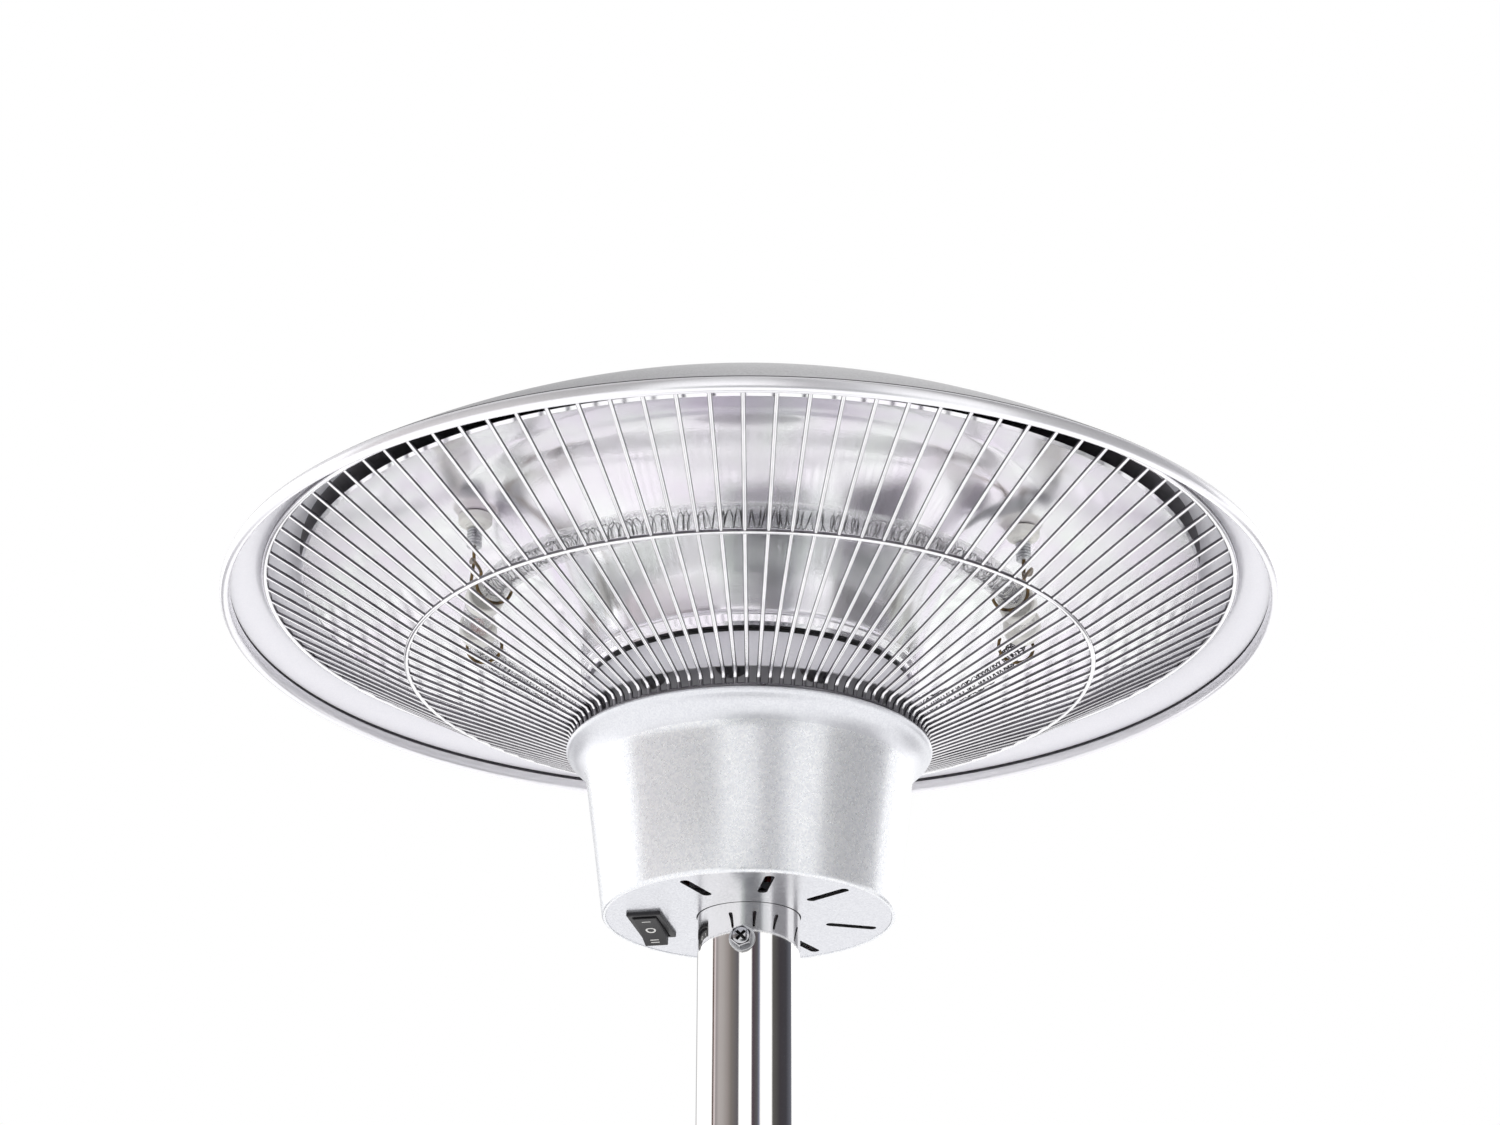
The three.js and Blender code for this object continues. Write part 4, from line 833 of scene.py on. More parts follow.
@dataclass
class Guard:
    """The radial wires and their three rings, each of a radius, a height and a wire radius."""

    wires: int = 100
    turn: float = -90.8
    wire: float = 0.92
    outer: Triple = (207.0, 12.9, 1.5)
    middle: Triple = (145.6, -21.0, 1.15)
    inner: Triple = (73.8, -56.1, 1.0)
    bends: Profile = field(default_factory=lambda: [
        (207.0, 13.3), (152.0, -17.5), (147.5, -19.9), (143.5, -21.8), (139.0, -23.8), (78.6, -49.8),
        (76.0, -51.1), (74.5, -53.0), (73.8, -56.1)])
    # Flanks that face this range of heights are painted darker, as shade.
    shaded_flank_heights: tuple[float, float] = (-0.38, 0.4)

    def spokes(self) -> Piece:
        """Models one bent wire and copies it round.

        Returns:
            All the wires as one mesh.
        """
        spokes = round_wire("guard_wires", [polar(radius, self.turn, height) for radius, height in self.bends],
                            self.wire)
        edit(spokes)
        bpy.ops.mesh.spin(steps=self.wires - 1, dupli=True, angle=2 * math.pi * (self.wires - 1) / self.wires,
                          center=(0, 0, 0), axis=(0, 0, 1))
        bpy.ops.object.mode_set(mode="OBJECT")
        return spokes

    def hoop(self, name: str, size: Triple) -> Piece:
        """Models one ring.

        Args:
            name: The ring's name.
            size: Its radius, height and wire radius.

        Returns:
            The ring.
        """
        radius, height, wire = size
        turns = [math.radians(angle) for angle in range(0, 361, 30)]
        return turn_profile(name, [(radius + wire * math.cos(t), height + wire * math.sin(t)) for t in turns],
                            240, 60.0)

    def build(self) -> None:
        """Models and dresses the guard."""
        cage = join("guard_cage", [
            self.spokes(), self.hoop("outer_hoop", self.outer), self.hoop("middle_hoop", self.middle),
            self.hoop("inner_hoop", self.inner)])
        fit(cage, Dress.PLATED_WIRE, "guard_steel", "guard")
        low, high = self.shaded_flank_heights
        # Flanks in that range take the painted shade.
        paint_faces(cage, lambda face: Dress.TINTED_WIRE if low < face.normal.z < high else None, Dress.TINTED_WIRE)


@dataclass
class Lamp:
    """One ring lamp: a clear tube bent to an arc and the coiled filament in it."""

    name: str
    start: float
    end: float
    sealed: tuple[int, ...] = ()
    radius: float = 6.5
    wall: float = 1.0
    coil: float = 3.75
    pitch: float = 2.9
    wire: float = 0.29
    # Distances from each end of the lamp: the straight leg's two ends and the coil's first curl.
    leg: tuple[float, float] = (4.0, 10.0)
    first_curl: float = 13.0
    curl_steps: int = 10
    sag: float = 0.5
    # How the curls drift along the tube: share of the pitch, radians per curl and phase of each wave.
    drift: tuple[Triple, ...] = ((0.22, 2.399, 0.0), (0.16, 5.11, 1.3))
    # How they swell: share of the coil's radius and radians per curl.
    swell: tuple[float, float] = (0.09, 1.7)
    seal_height: float = 2.4
    cap_profile: Profile = field(default_factory=lambda: [
        (0.0, 3.6), (1.2, 3.6), (2.6, 3.5), (3.0, 3.1), (3.0, 2.4), (7.2, 2.2), (7.8, 1.7), (8.0, 1.0),
        (8.0, -5.1), (7.7, -5.5), (6.9, -5.5), (6.75, -5.2), (6.75, 0.4), (0.0, 0.4)])

    def tube(self) -> Piece:
        """Models the hollow tube by turning its section about the upright axis.

        Returns:
            The tube.
        """
        section = join("tube_section", [
            add(bpy.ops.mesh.primitive_circle_add, vertices=32, radius=radius * MM, rotation=(math.pi / 2, 0, 0),
                location=(LAMP_RING * MM, 0, LAMP_LEVEL * MM)) for radius in (self.radius, self.radius - self.wall)])
        activate(section)
        bpy.ops.object.transform_apply(location=True, rotation=True, scale=True)
        edit(section)
        bpy.ops.mesh.bridge_edge_loops()
        bpy.ops.mesh.select_all(action="SELECT")
        bpy.ops.mesh.spin(steps=90, angle=math.radians(self.end - self.start), center=(0, 0, 0), axis=(0, 0, 1))
        return move(settle(section, f"{self.name}_quartz", 50.0), turned(self.start))

    def spot(self, along: float, out: float = 0.0, up: float = 0.0) -> Vector:
        """Gives a point in the tube.

        Args:
            along: Its distance from the lamp's first end, or from the last if negative.
            out: How far it lies outside the tube's middle line.
            up: How far it lies above it.

        Returns:
            The point.
        """
        end = self.end if along < 0 else self.start
        return polar(LAMP_RING + out, end + math.degrees(along / LAMP_RING), LAMP_LEVEL + up)

    def filament(self) -> Piece:
        """Models the coil, loose and uneven as a heater's filament lies in its tube.

        Returns:
            The coil.
        """
        length = math.radians(self.end - self.start) * LAMP_RING
        curls = int((length - 2 * self.first_curl) / self.pitch)
        near, far = self.leg
        points = [self.spot(near), self.spot(far)]
        for i in range(curls * self.curl_steps + 1):
            curl = i / self.curl_steps
            drift = sum(share * math.sin(curl * rate + phase) for share, rate, phase in self.drift)
            radius = self.coil * (1 + self.swell[0] * math.sin(curl * self.swell[1]))
            turn = 2 * math.pi * curl
            points.append(self.spot(self.first_curl + (curl + drift) * self.pitch,
                                    radius * math.cos(turn), radius * math.sin(turn) - self.sag))
        points += [self.spot(-far), self.spot(-near)]
        return round_wire(f"{self.name}_coil", points, self.wire, roundness=0)

    def cap(self, number: int, angle: float, outward: int) -> Piece:
        """Models the ceramic cap on one end.

        Args:
            number: 1 for the first end and 2 for the last.
            angle: The end's angle in degrees.
            outward: -1 at the first end and 1 at the last.

        Returns:
            The cap.
        """
        cap = turn_profile(f"{self.name}_ceramic_{number}", self.cap_profile, 40)
        return move(cap, shift(*polar(LAMP_RING, angle, LAMP_LEVEL)) @ turned(angle) @ turned(-90 * outward, "X"))

    def seal(self, cap: Piece, angle: float, outward: int) -> None:
        """Colours the cap's boss, where the lead leaves it in a red seal.

        Args:
            cap: The finished cap.
            angle: The end's angle in degrees.
            outward: -1 at the first end and 1 at the last.
        """
        along = polar(outward, angle + 90, 0)
        start = polar(LAMP_RING, angle, LAMP_LEVEL + RIM)
        paint_faces(cap, lambda face: Dress.SILICONE if (face.center / MM - start).dot(along) > self.seal_height
                    else None, Dress.SILICONE)

    def build(self) -> None:
        """Models and dresses the lamp."""
        fit(self.tube(), Dress.QUARTZ, "quartz", f"{self.name}_tube")
        fit(self.filament(), Dress.RESISTANCE_WIRE, "filament_wire", f"{self.name}_filament")
        for number, angle, outward in ((1, self.start, -1), (2, self.end, 1)):
            cap = fit(self.cap(number, angle, outward), Dress.CERAMIC, "ceramic", f"{self.name}_cap_{number}")
            if number in self.sealed:
                self.seal(cap, angle, outward)


@dataclass
class Hub:
    """The neck under the reflector, the dark sleeve, the shell with its flared lip and the vented plate."""

    # Faces above this level, on the flared lip, take a greyer paint as painted shade.
    lip_shade_level: float = -69.0
    # The sleeve's windows, cut by cylinders that lie across it.
    sleeve_radius: float = 65.7
    window_radius: float = 7.6
    window_level: float = -42.5
    window_angles: tuple[float, ...] = tuple(range(-96, 264, 30))
    plate_level: float = -130.1
    plate_sheet: float = 0.9
    vent_radius: float = 44.0
    vent_size: Triple = (21.5, 4.0, 6.0)
    vent_corner: float = 1.92
    vent_angles: tuple[float, ...] = (-119.0, -81.0, -43.5, 14.5, 58.0)
    cutout_size: Triple = (29.8, 12.4, 6.0)
    tool_level: float = -129.7
    # The radii between which the plate's upright faces, the walls of the punched slots, are painted near black as
    # shade.
    slot_shade_radii: tuple[float, float] = (30.0, 57.0)

    def shell(self) -> Piece:
        """Models the outer cone.

        Returns:
            The shell.
        """
        flare = smooth_line([(77.1, -58.6), (76.2, -60.0), (74.0, -61.4), (71.8, -63.6), (69.8, -67.0),
                             (68.7, -70.4), (68.2, -73.0)], 4)
        outer = [(75.6, -57.4), (76.4, -57.5), (76.95, -58.0), *flare, (64.4, -101.0), (60.9, -128.6), (60.6, -129.9),
                 (60.1, -130.4)]
        inner = [(59.2, -130.4), (59.05, -130.2), (59.05, -128.6), (66.7, -73.0), (68.1, -68.0), (70.2, -64.5),
                 (72.6, -61.6), (75.0, -59.6), (75.6, -57.4)]
        return turn_profile("hub_cone", [*outer, *inner], 160, 40.0)

    def neck(self) -> Piece:
        """Models the flared skirt under the reflector."""
        profile = [(4.4, -28.5), (62.0, -28.5), (62.0, -30.4), (68.5, -30.4), (69.2, -30.9), (77.2, -48.4),
                   (77.3, -48.9), (76.2, -48.9), (68.3, -32.4), (62.0, -31.5), (4.4, -31.5), (4.4, -28.5)]
        return turn_profile("neck_skirt", profile, 128, 30.0)

    def pipe(self, name: str, inner: float, outer: float, low: float, top: float) -> Piece:
        """Models a plain ring.

        Args:
            name: Its name.
            inner: Its inner radius.
            outer: Its outer radius.
            low: The level at which it starts.
            top: The level at which it ends.

        Returns:
            The ring.
        """
        return turn_profile(name, [(inner, low), (outer, low), (outer, top), (inner, top), (inner, low)])

    def sleeve(self) -> Piece:
        """Models the sleeve with its windows.

        Returns:
            The sleeve.
        """
        sleeve = self.pipe("core_sleeve", 65.1, 66.3, -73.0, -33.0)
        tool = add(bpy.ops.mesh.primitive_cylinder_add, vertices=36, radius=self.window_radius * MM, depth=8 * MM,
                   location=(self.sleeve_radius * MM, 0, self.window_level * MM), rotation=(0, math.pi / 2, 0))
        carve_round(sleeve, settle(tool, "window_tool"), self.window_angles)
        return settle(sleeve, "core_sleeve")

    def plate(self) -> Piece:
        """Models the bottom plate with its vents and the cut-out for the switch.

        Returns:
            The plate.
        """
        plate = self.pipe("vent_plate", 21.6, 59.0, self.plate_level, self.plate_level + self.plate_sheet)
        vent = block("vent_tool", self.vent_size, self.tool_level, self.vent_radius)
        self.round_upright(vent, self.vent_corner)
        carve_round(plate, vent, self.vent_angles)
        combine(plate, move(block("cutout_tool", self.cutout_size, self.tool_level), Switch().place()))
        settle(plate, "vent_plate")
        bevel_edges(plate, 0.18, 2, 60.0)
        return settle(plate, "vent_plate", 40.0)

    def round_upright(self, tool: Piece, radius: float) -> None:
        """Rounds a block's upright edges.

        Args:
            tool: The block.
            radius: The radius in millimetres.
        """
        edit(tool, "DESELECT")
        bpy.ops.object.mode_set(mode="OBJECT")
        for edge in tool.data.edges:
            low, high = (tool.data.vertices[i].co.z for i in edge.vertices)
            edge.select = abs(low - high) > SAME_LEVEL
        bpy.ops.object.mode_set(mode="EDIT")
        bpy.ops.mesh.select_mode(type="EDGE")
        bpy.ops.mesh.bevel(offset=radius * MM, segments=8)
        bpy.ops.object.mode_set(mode="OBJECT")

    def build(self) -> None:
        """Models and dresses the hub."""
        cone = fit(self.shell(), Dress.HUB_PAINT, "sparkle_silver", "hub_shell")
        # The flared lip takes a greyer paint as painted shade.
        paint_faces(cone, lambda face: Dress.LIP_PAINT if level(face) > self.lip_shade_level else None, Dress.LIP_PAINT)
        # The skirt under the reflector takes the paler silver paint, painted light from below.
        fit(self.neck(), Dress.INSIDE_PAINT, "satin_silver", "hub_neck")
        fit(self.sleeve(), Dress.DARK_SHEET, "dark_steel", "hub_core")
        # The plate takes a greyer paint as painted shade, and its slots' walls a near-black painted shade.
        plate = fit(self.plate(), Dress.PLATE_PAINT, "sparkle_silver", "hub_plate")
        low, high = self.slot_shade_radii
        paint_faces(plate, lambda face: Dress.PUNCHED_EDGE if low < reach(face) < high and abs(face.normal.z) < 0.5
                    else None, Dress.PUNCHED_EDGE)
        gasket = self.pipe("neck_gasket", 62.2, 66.6, -30.3, -28.4)
        fit(gasket, Dress.BLACK_RUBBER, "black_rubber")


@dataclass
class Switch:
    """The three-position rocker switch in the hub's plate: bezel, body, rocker and printed marks."""

    centre: tuple[float, float] = (-40.4, 8.3)
    turn: float = 78.9
    face: float = -129.6
    bezel: float = 2.0
    proud: float = 1.7
    tilt: float = 9.75
    pivot: float = -127.6
    half_length: float = 12.2
    width: float = 9.8
    # How far the rocker's ends reach below its middle, and the slope that this gives each half.
    dip: float = 1.2
    slope: float = 5.62
    bar: tuple[float, float] = (0.55, 3.6)
    ink: float = 0.1

    @property
    def low(self) -> float:
        """The level of the rocker's lower face at its middle."""
        return self.face - self.bezel - self.proud

    def place(self) -> Matrix:
        """Gives the move from the switch's own place to its place in the plate."""
        return shift(*self.centre, 0) @ turned(self.turn)

    def tip(self) -> Matrix:
        """Gives the turn of the rocker about its axle, to its place at rest."""
        return shift(0, 0, self.pivot) @ turned(self.tilt, "Y") @ shift(0, 0, -self.pivot)

    def stand(self, name: str, size: Triple, low: float) -> Piece:
        """Models a block that stands on a level."""
        return block(name, size, low + size[2] / 2)

    def housing(self) -> Piece:
        """Models the bezel and the body as one moulding with its cavity.

        Returns:
            The housing.
        """
        bezel = self.stand("bezel", (31.6, 14.4, self.bezel), self.face - self.bezel)
        bevel_edges(bezel, 0.55, 4)
        body = self.stand("body", (29.2, 11.8, 18.9), self.face - 0.9)
        bevel_edges(body, 0.3, 2)
        combine(bezel, body, Boolean.ADD)
        combine(bezel, self.stand("cavity", (27.6, 10.4, 13.0), self.face - 4.0))
        return settle(bezel, "switch_bezel", 30.0)

    def rocker(self) -> Piece:
        """Models the rocker: a block whose lower face dips in the middle, with rounded edges.

        Returns:
            The rocker, tipped to the end that lies towards the front.
        """
        piece = self.stand("rocker", (2 * self.half_length, self.width, self.pivot - self.low), self.low)
        edit(piece)
        bpy.ops.mesh.bisect(plane_co=(0, 0, 0), plane_no=(1, 0, 0))
        bpy.ops.object.mode_set(mode="OBJECT")
        ends = [vertex.co for vertex in piece.data.vertices if abs(vertex.co.x) > self.half_length / 2 * MM]
        for place in ends:
            if place.z < (self.low + 0.1) * MM:
                place.z -= self.dip * MM
            else:
                place.x *= 0.95
        bevel_edges(piece, 0.45, 3, 20.0)
        return move(settle(piece, "switch_button", 25.0), self.tip())

    def mark(self, name: str, along: float) -> Piece:
        """Models one printed bar on the rocker's face.

        Args:
            name: Its name.
            along: Its middle along the rocker, from the axle.

        Returns:
            The bar, before the rocker is tipped.
        """
        low = self.low - self.dip * abs(along) / self.half_length - 0.03
        piece = self.stand(name, (*self.bar, self.ink), low)
        middle = low + self.ink / 2
        slope = turned(math.copysign(self.slope, along), "Y")
        return move(piece, shift(along, 0, middle) @ slope @ shift(0, 0, -middle))

    def marks(self) -> Piece:
        """Models the marks: one bar, a ring and two bars.

        Returns:
            The marks as one piece, on the tipped rocker.
        """
        bars = [self.mark("bar_one", -8.8), self.mark("bar_two_a", 7.6), self.mark("bar_two_b", 9.4)]
        low, top = self.low - 0.08, self.low + 0.02
        ring = turn_profile("ring", [(1.45, low), (2.15, low), (2.15, top), (1.45, top), (1.45, low)], 40)
        for vertex in ring.data.vertices:
            vertex.co.z -= self.dip * abs(vertex.co.x) / self.half_length
        return move(join("switch_marks", [*bars, ring]), self.tip())

    def build(self) -> None:
        """Models and dresses the switch."""
        place = TO_RIM @ self.place()
        fit(self.housing(), Dress.BLACK_NYLON, "black_plastic", "switch_housing", at=place)
        fit(self.rocker(), Dress.BLACK_NYLON, "black_plastic", "switch_rocker", at=place, body=ROCKER)
        fit(self.marks(), Dress.PRINT, "pale_plastic", at=place, body=ROCKER)


@dataclass
class Screw:
    """The screw with a cross recess in its hexagon head, and its washer; heights count from the post's axis."""

    hexagon: float = 8.0
    head_depth: float = 3.4
    head_middle: float = 24.5
    head_turn: float = 0.35
    recess: Triple = (5.0, 1.3, 4.4)
    recess_middle: float = 26.6
    # Faces inside this radius and between these heights lie in the recess's shade.
    shade_radius: float = 2.6
    shade_heights: tuple[float, float] = (24.0, 26.3)

    def washer(self) -> Piece:
        """Models the washer."""
        return turn_profile("screw_washer", [(2.8, 21.5), (5.2, 21.5), (5.4, 21.7), (5.4, 22.3), (5.2, 22.5),
                                             (2.8, 22.5), (2.8, 21.5)], 64)

    def head(self) -> Piece:
        """Models the hexagon with its crown and the cross recess.

        Returns:
            The head.
        """
        head = add(bpy.ops.mesh.primitive_cylinder_add, vertices=6, depth=self.head_depth * MM,
                   radius=self.hexagon / 2 / math.cos(math.pi / 6) * MM, location=(0, 0, self.head_middle * MM),
                   rotation=(0, 0, self.head_turn))
        settle(head, "screw_head")
        bevel_edges(head, 0.35, 3)
        crown = turn_profile("screw_crown", [(0.0, 26.9), (1.8, 26.8), (3.0, 26.5), (3.7, 26.0), (3.7, 25.4),
                                             (0.0, 25.4)], 48, 60.0)
        combine(head, crown, Boolean.ADD)
        carve_round(head, block("recess_tool", self.recess, self.recess_middle), (45, 135))
        return settle(head, "cross_screw", 30.0)

    def shade(self, face: Face) -> Dress | None:
        """Gives the recess's faces a near-black painted shade."""
        low, high = self.shade_heights
        return Dress.PUNCHED_EDGE if reach(face) < self.shade_radius and low < face.center.z / MM < high else None

    def build(self, aim: Matrix) -> None:
        """Models and dresses the washer and the screw.

        Args:
            aim: The move from upright to their place in the post.
        """
        fit(self.washer(), Dress.ZINC_STEEL, "zinc_steel", "post_screw_washer", at=aim)
        shank = turn_profile("screw_shank", [(0.0, 16.0), (2.1, 16.0), (2.5, 16.4), (2.5, 23.0), (0.0, 23.0)], 32)
        screw = join("cross_screw", [self.head(), shank])
        dress(screw, Dress.BRIGHT_SCREW)
        paint_faces(screw, self.shade, Dress.PUNCHED_EDGE)
        fit(screw, None, "zinc_steel", "post_screw", at=aim)


@dataclass
class Post:
    """The round post with its screw."""

    radius: float = 21.2
    wall: float = 1.5
    top: float = RIM - 129.6
    foot: float = 32.2
    chamfer: float = 0.3
    screw_turn: float = -97.0
    screw_drop: float = 16.2

    def build(self) -> None:
        """Models and dresses the post."""
        bore = self.radius - self.wall
        tube = turn_profile("post_pipe", [
            (bore, self.foot), (self.radius, self.foot), (self.radius, self.top - self.chamfer),
            (self.radius - self.chamfer, self.top), (bore, self.top), (bore, self.foot)], 96)
        fit(tube, Dress.MIRROR_STEEL, "mirror_steel", "post_tube", at=Matrix())
        Screw().build(shift(0, 0, self.top - self.screw_drop) @ turned(self.screw_turn) @ turned(90, "Y"))


@dataclass
class Holder:
    """One lamp holder: ceramic disc, ribbed sleeve and the hooked wires to both lamps."""

    side: str
    angle: float
    hooks: tuple[tuple[str, float], ...]
    radius: float = 119.0
    # The wires leave the sleeve straight down through these heights, and end in hooks of this reach.
    straight: Triple = (34.0, 30.5, 27.6)
    hook_reach: float = 7.7
    wire: float = 0.72
    wire_side: float = 1.3
    ribs: int = 6
    rib_pitch: float = 1.4

    def disc(self) -> Piece:
        """Models the stepped ceramic disc with its spigot through the reflector."""
        profile = [(2.1, 52.5), (3.2, 52.5), (3.6, 52.1), (3.6, 49.2), (6.9, 49.2), (7.4, 48.7), (7.3, 45.6),
                   (6.6, 44.7), (5.2, 44.5), (4.5, 44.2), (4.4, 43.2), (4.0, 42.8), (2.1, 42.8), (2.1, 52.5)]
        return turn_profile(f"ceramic_disc_{self.side}", profile, 48)

    def sleeve(self) -> Piece:
        """Models the stud's nut and the wound sleeve below the disc.

        Returns:
            The stud and sleeve.
        """
        profile = [(0.0, 55.8), (3.4, 55.8), (3.8, 55.4), (3.8, 52.8), (1.8, 52.8), (1.8, 42.5)]
        for i in range(self.ribs):
            top = 42.4 - i * self.rib_pitch
            profile += [(2.7, top), (3.3, top - 0.35), (3.3, top - 0.9), (2.7, top - 1.3)]
        profile += [(2.6, 34.0), (0.0, 34.0)]
        return turn_profile(f"stud_sleeve_{self.side}", profile, 32, 40.0)

    def hook(self, name: str, start: float, target: float) -> Piece:
        """Models one bent wire down to a lamp.

        Args:
            name: Its name.
            start: The angle at which it leaves the sleeve.
            target: The angle of the hook round the lamp.

        Returns:
            The wire.
        """
        low, top = self.straight[-1], LAMP_LEVEL + self.hook_reach
        corners = [polar(self.radius, start, height) for height in self.straight]
        for along, down in ((0.3, 0.32), (0.72, 0.62)):
            corners.append(polar(self.radius + (LAMP_RING + self.hook_reach - self.radius) * along,
                                 start + (target - start) * along, low + (top - low) * down))
        for turn in (math.radians(40 - 35 * i) for i in range(8)):
            corners.append(polar(LAMP_RING + self.hook_reach * math.cos(turn), target,
                                 LAMP_LEVEL + self.hook_reach * math.sin(turn)))
        return round_wire(name, smooth_line(corners), self.wire)

    def build(self) -> None:
        """Models and dresses the holder."""
        at = TO_RIM @ turned(self.angle) @ shift(self.radius, 0, 0)
        fit(self.disc(), Dress.CERAMIC, "ceramic", f"insulator_{self.side}", at=at)
        fit(self.sleeve(), Dress.ZINC_STEEL, "zinc_steel", f"stud_{self.side}", at=at)
        for lamp, target in self.hooks:
            turn = math.copysign(math.degrees(self.wire_side / self.radius), target - self.angle)
            wire = self.hook(f"lamp_hook_{lamp}_{self.side}", self.angle + turn, target)
            fit(wire, Dress.HOT_STEEL, "dark_steel", f"hanger_{lamp}_{self.side}")


@dataclass
class Base:
    """The round base: spun cover and three feet."""

    sheet: float = 1.2
    foot_circle: float = 142.0
    first_foot: float = 45.0

    def build(self) -> None:
        """Models and dresses the cover and the feet."""
        bell = [(172.0, 22.0), (171.2, 26.6), (168.9, 30.6), (165.0, 33.9), (158.0, 37.0), (140.0, 42.2),
                (105.0, 48.9), (60.0, 55.0), (34.0, 58.0), (24.5, 59.3), (21.7, 60.0)]
        line = [(172.0, 5.0), *smooth_line(bell)]
        cover = turn_profile("base_bell", sheet_profile(line, self.sheet), 160)
        fit(cover, Dress.CANOPY_PAINT, "satin_silver", "base_cover", at=Matrix())
        pads = [turn_profile("foot_pad_1", [(0.0, 0.0), (9.6, 0.0), (10.6, 0.5), (11.0, 1.4), (11.0, 5.0),
                                            (0.0, 5.0)], 48)]
        pads += [twin(pads[0], f"foot_pad_{number}") for number in (2, 3)]
        for i, pad in enumerate(pads):
            place = shift(*polar(self.foot_circle, self.first_foot + 120 * i, 0))
            fit(pad, Dress.BLACK_RUBBER, "black_rubber", f"foot_{i + 1}", at=place)


def three(name: str) -> tuple[str, ...]:
    """Gives the names of three solids that are alike."""
    return tuple(f"{name}_{number}" for number in (1, 2, 3))


SOLID_FINISHES: dict[Dress, tuple[str, ...]] = {
    Dress.ZINC_STEEL: ("canopy_rod", "rod_foot_nut", "rod_neck_nut", "canopy_lower_nut", *three("reflector_screw"),
                       *three("hub_pillar"), "post_socket", "post_flange", "base_plate", *three("base_bolt")),
    Dress.MIRROR_STEEL: ("canopy_cap_nut",),
    Dress.BRASS: three("switch_terminal"),
    Dress.PALE_NYLON: ("terminal_block",),
    Dress.BLACK_NYLON: ("tilt_switch",),
    Dress.SILICONE: ("lead_left", "lead_right", "lead_switch"),
    Dress.BLACK_RUBBER: ("lead_supply", "lead_grommet"),
    Dress.CAST_IRON: ("base_weight",),
}


def dress_solids() -> None:
    """Gives each solid that stays in view its finish."""
    for finish, names in SOLID_FINISHES.items():
        for name in names:
            dress(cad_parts[name], finish)
            LOG.info("%s dressed in %s", name, finish.value.name)


# Light, floor and camera

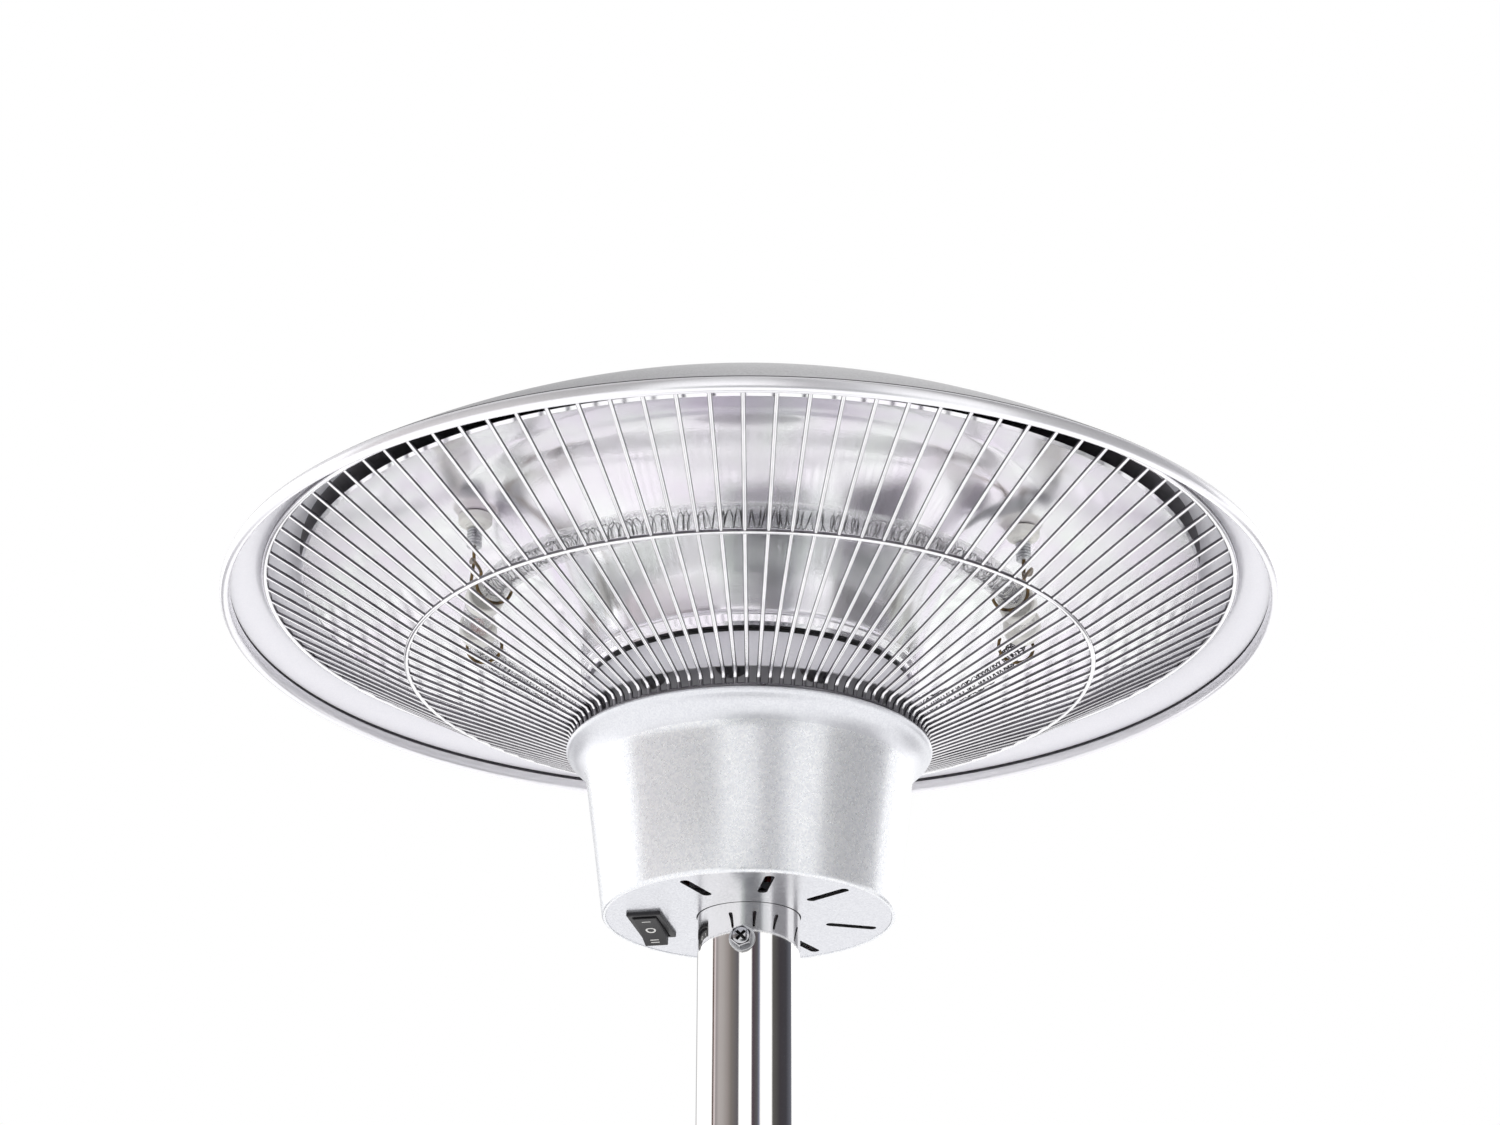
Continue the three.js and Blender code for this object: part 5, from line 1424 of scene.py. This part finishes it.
@dataclass
class Studio:
    """The pale floor, the soft light and the camera. Flags give an angle from the front and a colour."""

    camera_place: Triple = (0.0, -1.323, RIM * MM - 0.556)
    pitch: float = 23.9
    roll: float = 0.2
    lens: float = 80.352
    sensor: float = 36.0
    glow: float = 1.12
    floor_colour: str = "#eeeeef"
    # Distances from the post, in metres, over which the floor turns white and its flags begin.
    white_from: tuple[float, float] = (0.5, 2.2)
    flags_from: tuple[float, float] = (1.15, 1.7)
    # The surround's upward directions between which it dims, and what it dims to.
    ceiling_from: tuple[float, float] = (0.3, 0.75)
    ceiling_glow: float = 0.6
    aim: Triple = (0.0, 0.0, 0.75)
    floor_flags: Stops = (
        (-160, "#ffffff"), (-154, "#737176"), (-138, "#828085"), (-130, "#ffffff"),
        (-20, "#ffffff"), (-15, "#b9c0ba"), (-6, "#5b5e62"), (4, "#33363c"), (14, "#2c2e32"), (26, "#505458"),
        (34, "#e0e3e3"), (50, "#ffffff"), (56, "#747377"), (66, "#616064"), (88, "#5b595f"), (96, "#a19ea3"),
        (100, "#ffffff"), (118, "#ffffff"), (124, "#7b797d"), (140, "#6b696d"), (146, "#ffffff"))
    flags: Stops = (
        (-162, "#a0a0a2"), (-150, "#ffffff"), (-116, "#ffffff"), (-111.5, "#7c7a7c"), (-107, "#ffffff"),
        (-88, "#ffffff"), (-86, "#4f3f3a"), (-83, "#5f504a"), (-81, "#dfd4d5"), (-76, "#8e8888"), (-68, "#aaa4a3"),
        (-58, "#a39e9c"), (-46, "#8f8886"), (-38, "#75706c"), (-22, "#5a585d"), (-20, "#ffffff"),
        (6, "#ffffff"), (8, "#4b3d45"), (20, "#565658"), (24, "#7d7f92"), (27, "#ffffff"),
        (52, "#ffffff"), (55, "#5a5956"), (74, "#3d3a3e"), (92, "#3e3d42"), (109, "#64666f"), (113, "#ffffff"),
        (118, "#ffffff"), (122.5, "#858587"), (127, "#ffffff"))

    def bands(self, tree: Tree, place: Socket, flags: Stops) -> Socket:
        """Adds the flags' colours by the direction seen from the heater.

        Args:
            tree: The node tree that takes them.
            place: A direction or a point about the post.
            flags: Angle from the front in degrees, and colour, of each stop.

        Returns:
            The socket that gives the colour.
        """
        split = add_node(tree, "ShaderNodeSeparateXYZ", {"Vector": place}).node.outputs
        ahead = add_node(tree, "ShaderNodeMath", {0: split["Y"], 1: -1.0}, operation="MULTIPLY")
        turn = add_node(tree, "ShaderNodeMath", {0: split["X"], 1: ahead}, operation="ARCTAN2")
        share = add_node(tree, "ShaderNodeMapRange", {"Value": turn, "From Min": -math.pi, "From Max": math.pi})
        bands = add_node(tree, "ShaderNodeValToRGB", {"Fac": share})
        ramp = bands.node.color_ramp
        first, last = ramp.elements[0], ramp.elements[1]
        first.position, last.position = 0.0, 1.0
        first.color = last.color = WHITE
        for angle, colour in flags:
            ramp.elements.new(angle / 360 + 0.5).color = linear(colour)
        return bands

    def floor(self) -> None:
        """Lays a plain pale floor that is white to the eye and keeps the shadow."""
        ground = add(bpy.ops.mesh.primitive_plane_add, size=40, location=(0, 0, -0.5 * MM))
        ground.name = "pale_floor"
        material = Finish("pale_floor", self.floor_colour, roughness=0.8).build()
        tree = material.node_tree
        place = add_node(tree, "ShaderNodeTexCoord", out="Object")
        path = add_node(tree, "ShaderNodeLightPath").node.outputs
        away = add_node(tree, "ShaderNodeVectorMath", {0: place}, "Value", operation="LENGTH")
        far, flagged = (add_node(tree, "ShaderNodeMapRange", {"Value": away, "From Min": low, "From Max": high},
                                 interpolation_type="SMOOTHSTEP") for low, high in (self.white_from, self.flags_from))
        kept = add_node(tree, "ShaderNodeMath", {0: path["Is Camera Ray"], 1: far}, operation="SUBTRACT")
        white = add_node(tree, "ShaderNodeMath", {0: 1.0, 1: kept}, operation="SUBTRACT", use_clamp=True)
        share = add_node(tree, "ShaderNodeMath", {0: flagged, 1: path["Is Glossy Ray"]}, operation="MULTIPLY")
        shade = add_node(tree, "ShaderNodeMix", {0: share, 6: WHITE, 7: self.bands(tree, place, self.floor_flags)}, 2,
                         data_type="RGBA")
        strength = add_node(tree, "ShaderNodeMapRange", {"Value": path["Is Camera Ray"], "To Min": self.glow,
                                                         "To Max": 1.0})
        glow = add_node(tree, "ShaderNodeEmission", {"Color": shade, "Strength": strength})
        mix = add_node(tree, "ShaderNodeMixShader", {0: white, 1: tree.nodes["Principled BSDF"].outputs[0], 2: glow})
        tree.links.new(mix, tree.nodes["Material Output"].inputs["Surface"])
        ground.data.materials.append(material)

    def lamp(self, name: str, place: Triple, size: tuple[float, float], power: float) -> None:
        """Adds one soft box that faces the heater.

        Args:
            name: Its name.
            place: Where it stands, in metres.
            size: Its width and height in metres.
            power: Its power in watts.
        """
        box = add(bpy.ops.object.light_add, type="AREA", location=place)
        box.name = name
        box.rotation_euler = (Vector(self.aim) - Vector(place)).to_track_quat("-Z", "Y").to_euler()
        box.data.shape = "RECTANGLE"
        box.data.size, box.data.size_y = size
        box.data.energy = power

    def world(self) -> None:
        """Makes a white surround with a dimmer ceiling; only gloss shows the dark flags."""
        world = bpy.data.worlds.new("studio")
        bpy.context.scene.world = world
        world.use_nodes = True
        tree = world.node_tree
        back = tree.nodes["Background"]
        place = add_node(tree, "ShaderNodeTexCoord", out="Generated")
        path = add_node(tree, "ShaderNodeLightPath").node.outputs
        low, high = self.ceiling_from
        ceiling = add_node(tree, "ShaderNodeMapRange", {
            "Value": add_node(tree, "ShaderNodeSeparateXYZ", {"Vector": place}, "Z"), "From Min": low,
            "From Max": high, "To Min": self.glow, "To Max": self.ceiling_glow})
        glossy = add_node(tree, "ShaderNodeMix", {0: path["Is Glossy Ray"], 6: WHITE,
                                                  7: self.bands(tree, place, self.flags)}, 2, data_type="RGBA")
        shade = add_node(tree, "ShaderNodeVectorMath", {0: glossy, 1: ceiling}, operation="MULTIPLY")
        seen = add_node(tree, "ShaderNodeMath", {0: path["Is Camera Ray"], 1: path["Is Transmission Ray"]},
                        operation="MAXIMUM")
        colour = add_node(tree, "ShaderNodeMix", {0: seen, 6: shade, 7: WHITE}, 2, data_type="RGBA")
        tree.links.new(colour, back.inputs["Color"])
        back.inputs["Strength"].default_value = 1.0

    def camera(self) -> None:
        """Stands the camera where the photograph was taken."""
        eye = add(bpy.ops.object.camera_add, location=self.camera_place)
        eye.rotation_euler = (turned(90 + self.pitch, "X") @ turned(self.roll)).to_euler()
        eye.data.sensor_width = self.sensor
        eye.data.lens = self.lens
        eye.data.clip_start, eye.data.clip_end = 0.05, 60
        bpy.context.scene.camera = eye

    def build(self) -> None:
        """Sets up floor, lights, world and camera."""
        self.floor()
        self.lamp("key_box", (-2.5, 1.3, 1.4), (2.6, 2.2), 12)
        self.lamp("fill_box", (2.2, 1.9, 1.4), (2.0, 2.0), 7)
        self.world()
        self.camera()
        bpy.context.scene.view_settings.view_transform = "Standard"


def main() -> None:
    """Builds the heater's looks in order."""
    logging.basicConfig(level=logging.INFO, format="%(name)s %(message)s")
    dress_solids()
    Canopy().build()
    Reflector().build()
    Guard().build()
    Lamp("lamp_front", -163.5, -13.5).build()
    Lamp("lamp_back", -4.0, 181.5, sealed=(2,)).build()
    Holder("left", 183.0, (("front", 204.0), ("back", 171.0))).build()
    Holder("right", 3.0, (("front", -21.0), ("back", 8.0))).build()
    Hub().build()
    Switch().build()
    Post().build()
    Base().build()
    Studio().build()


if __name__ == "__main__":
    main()
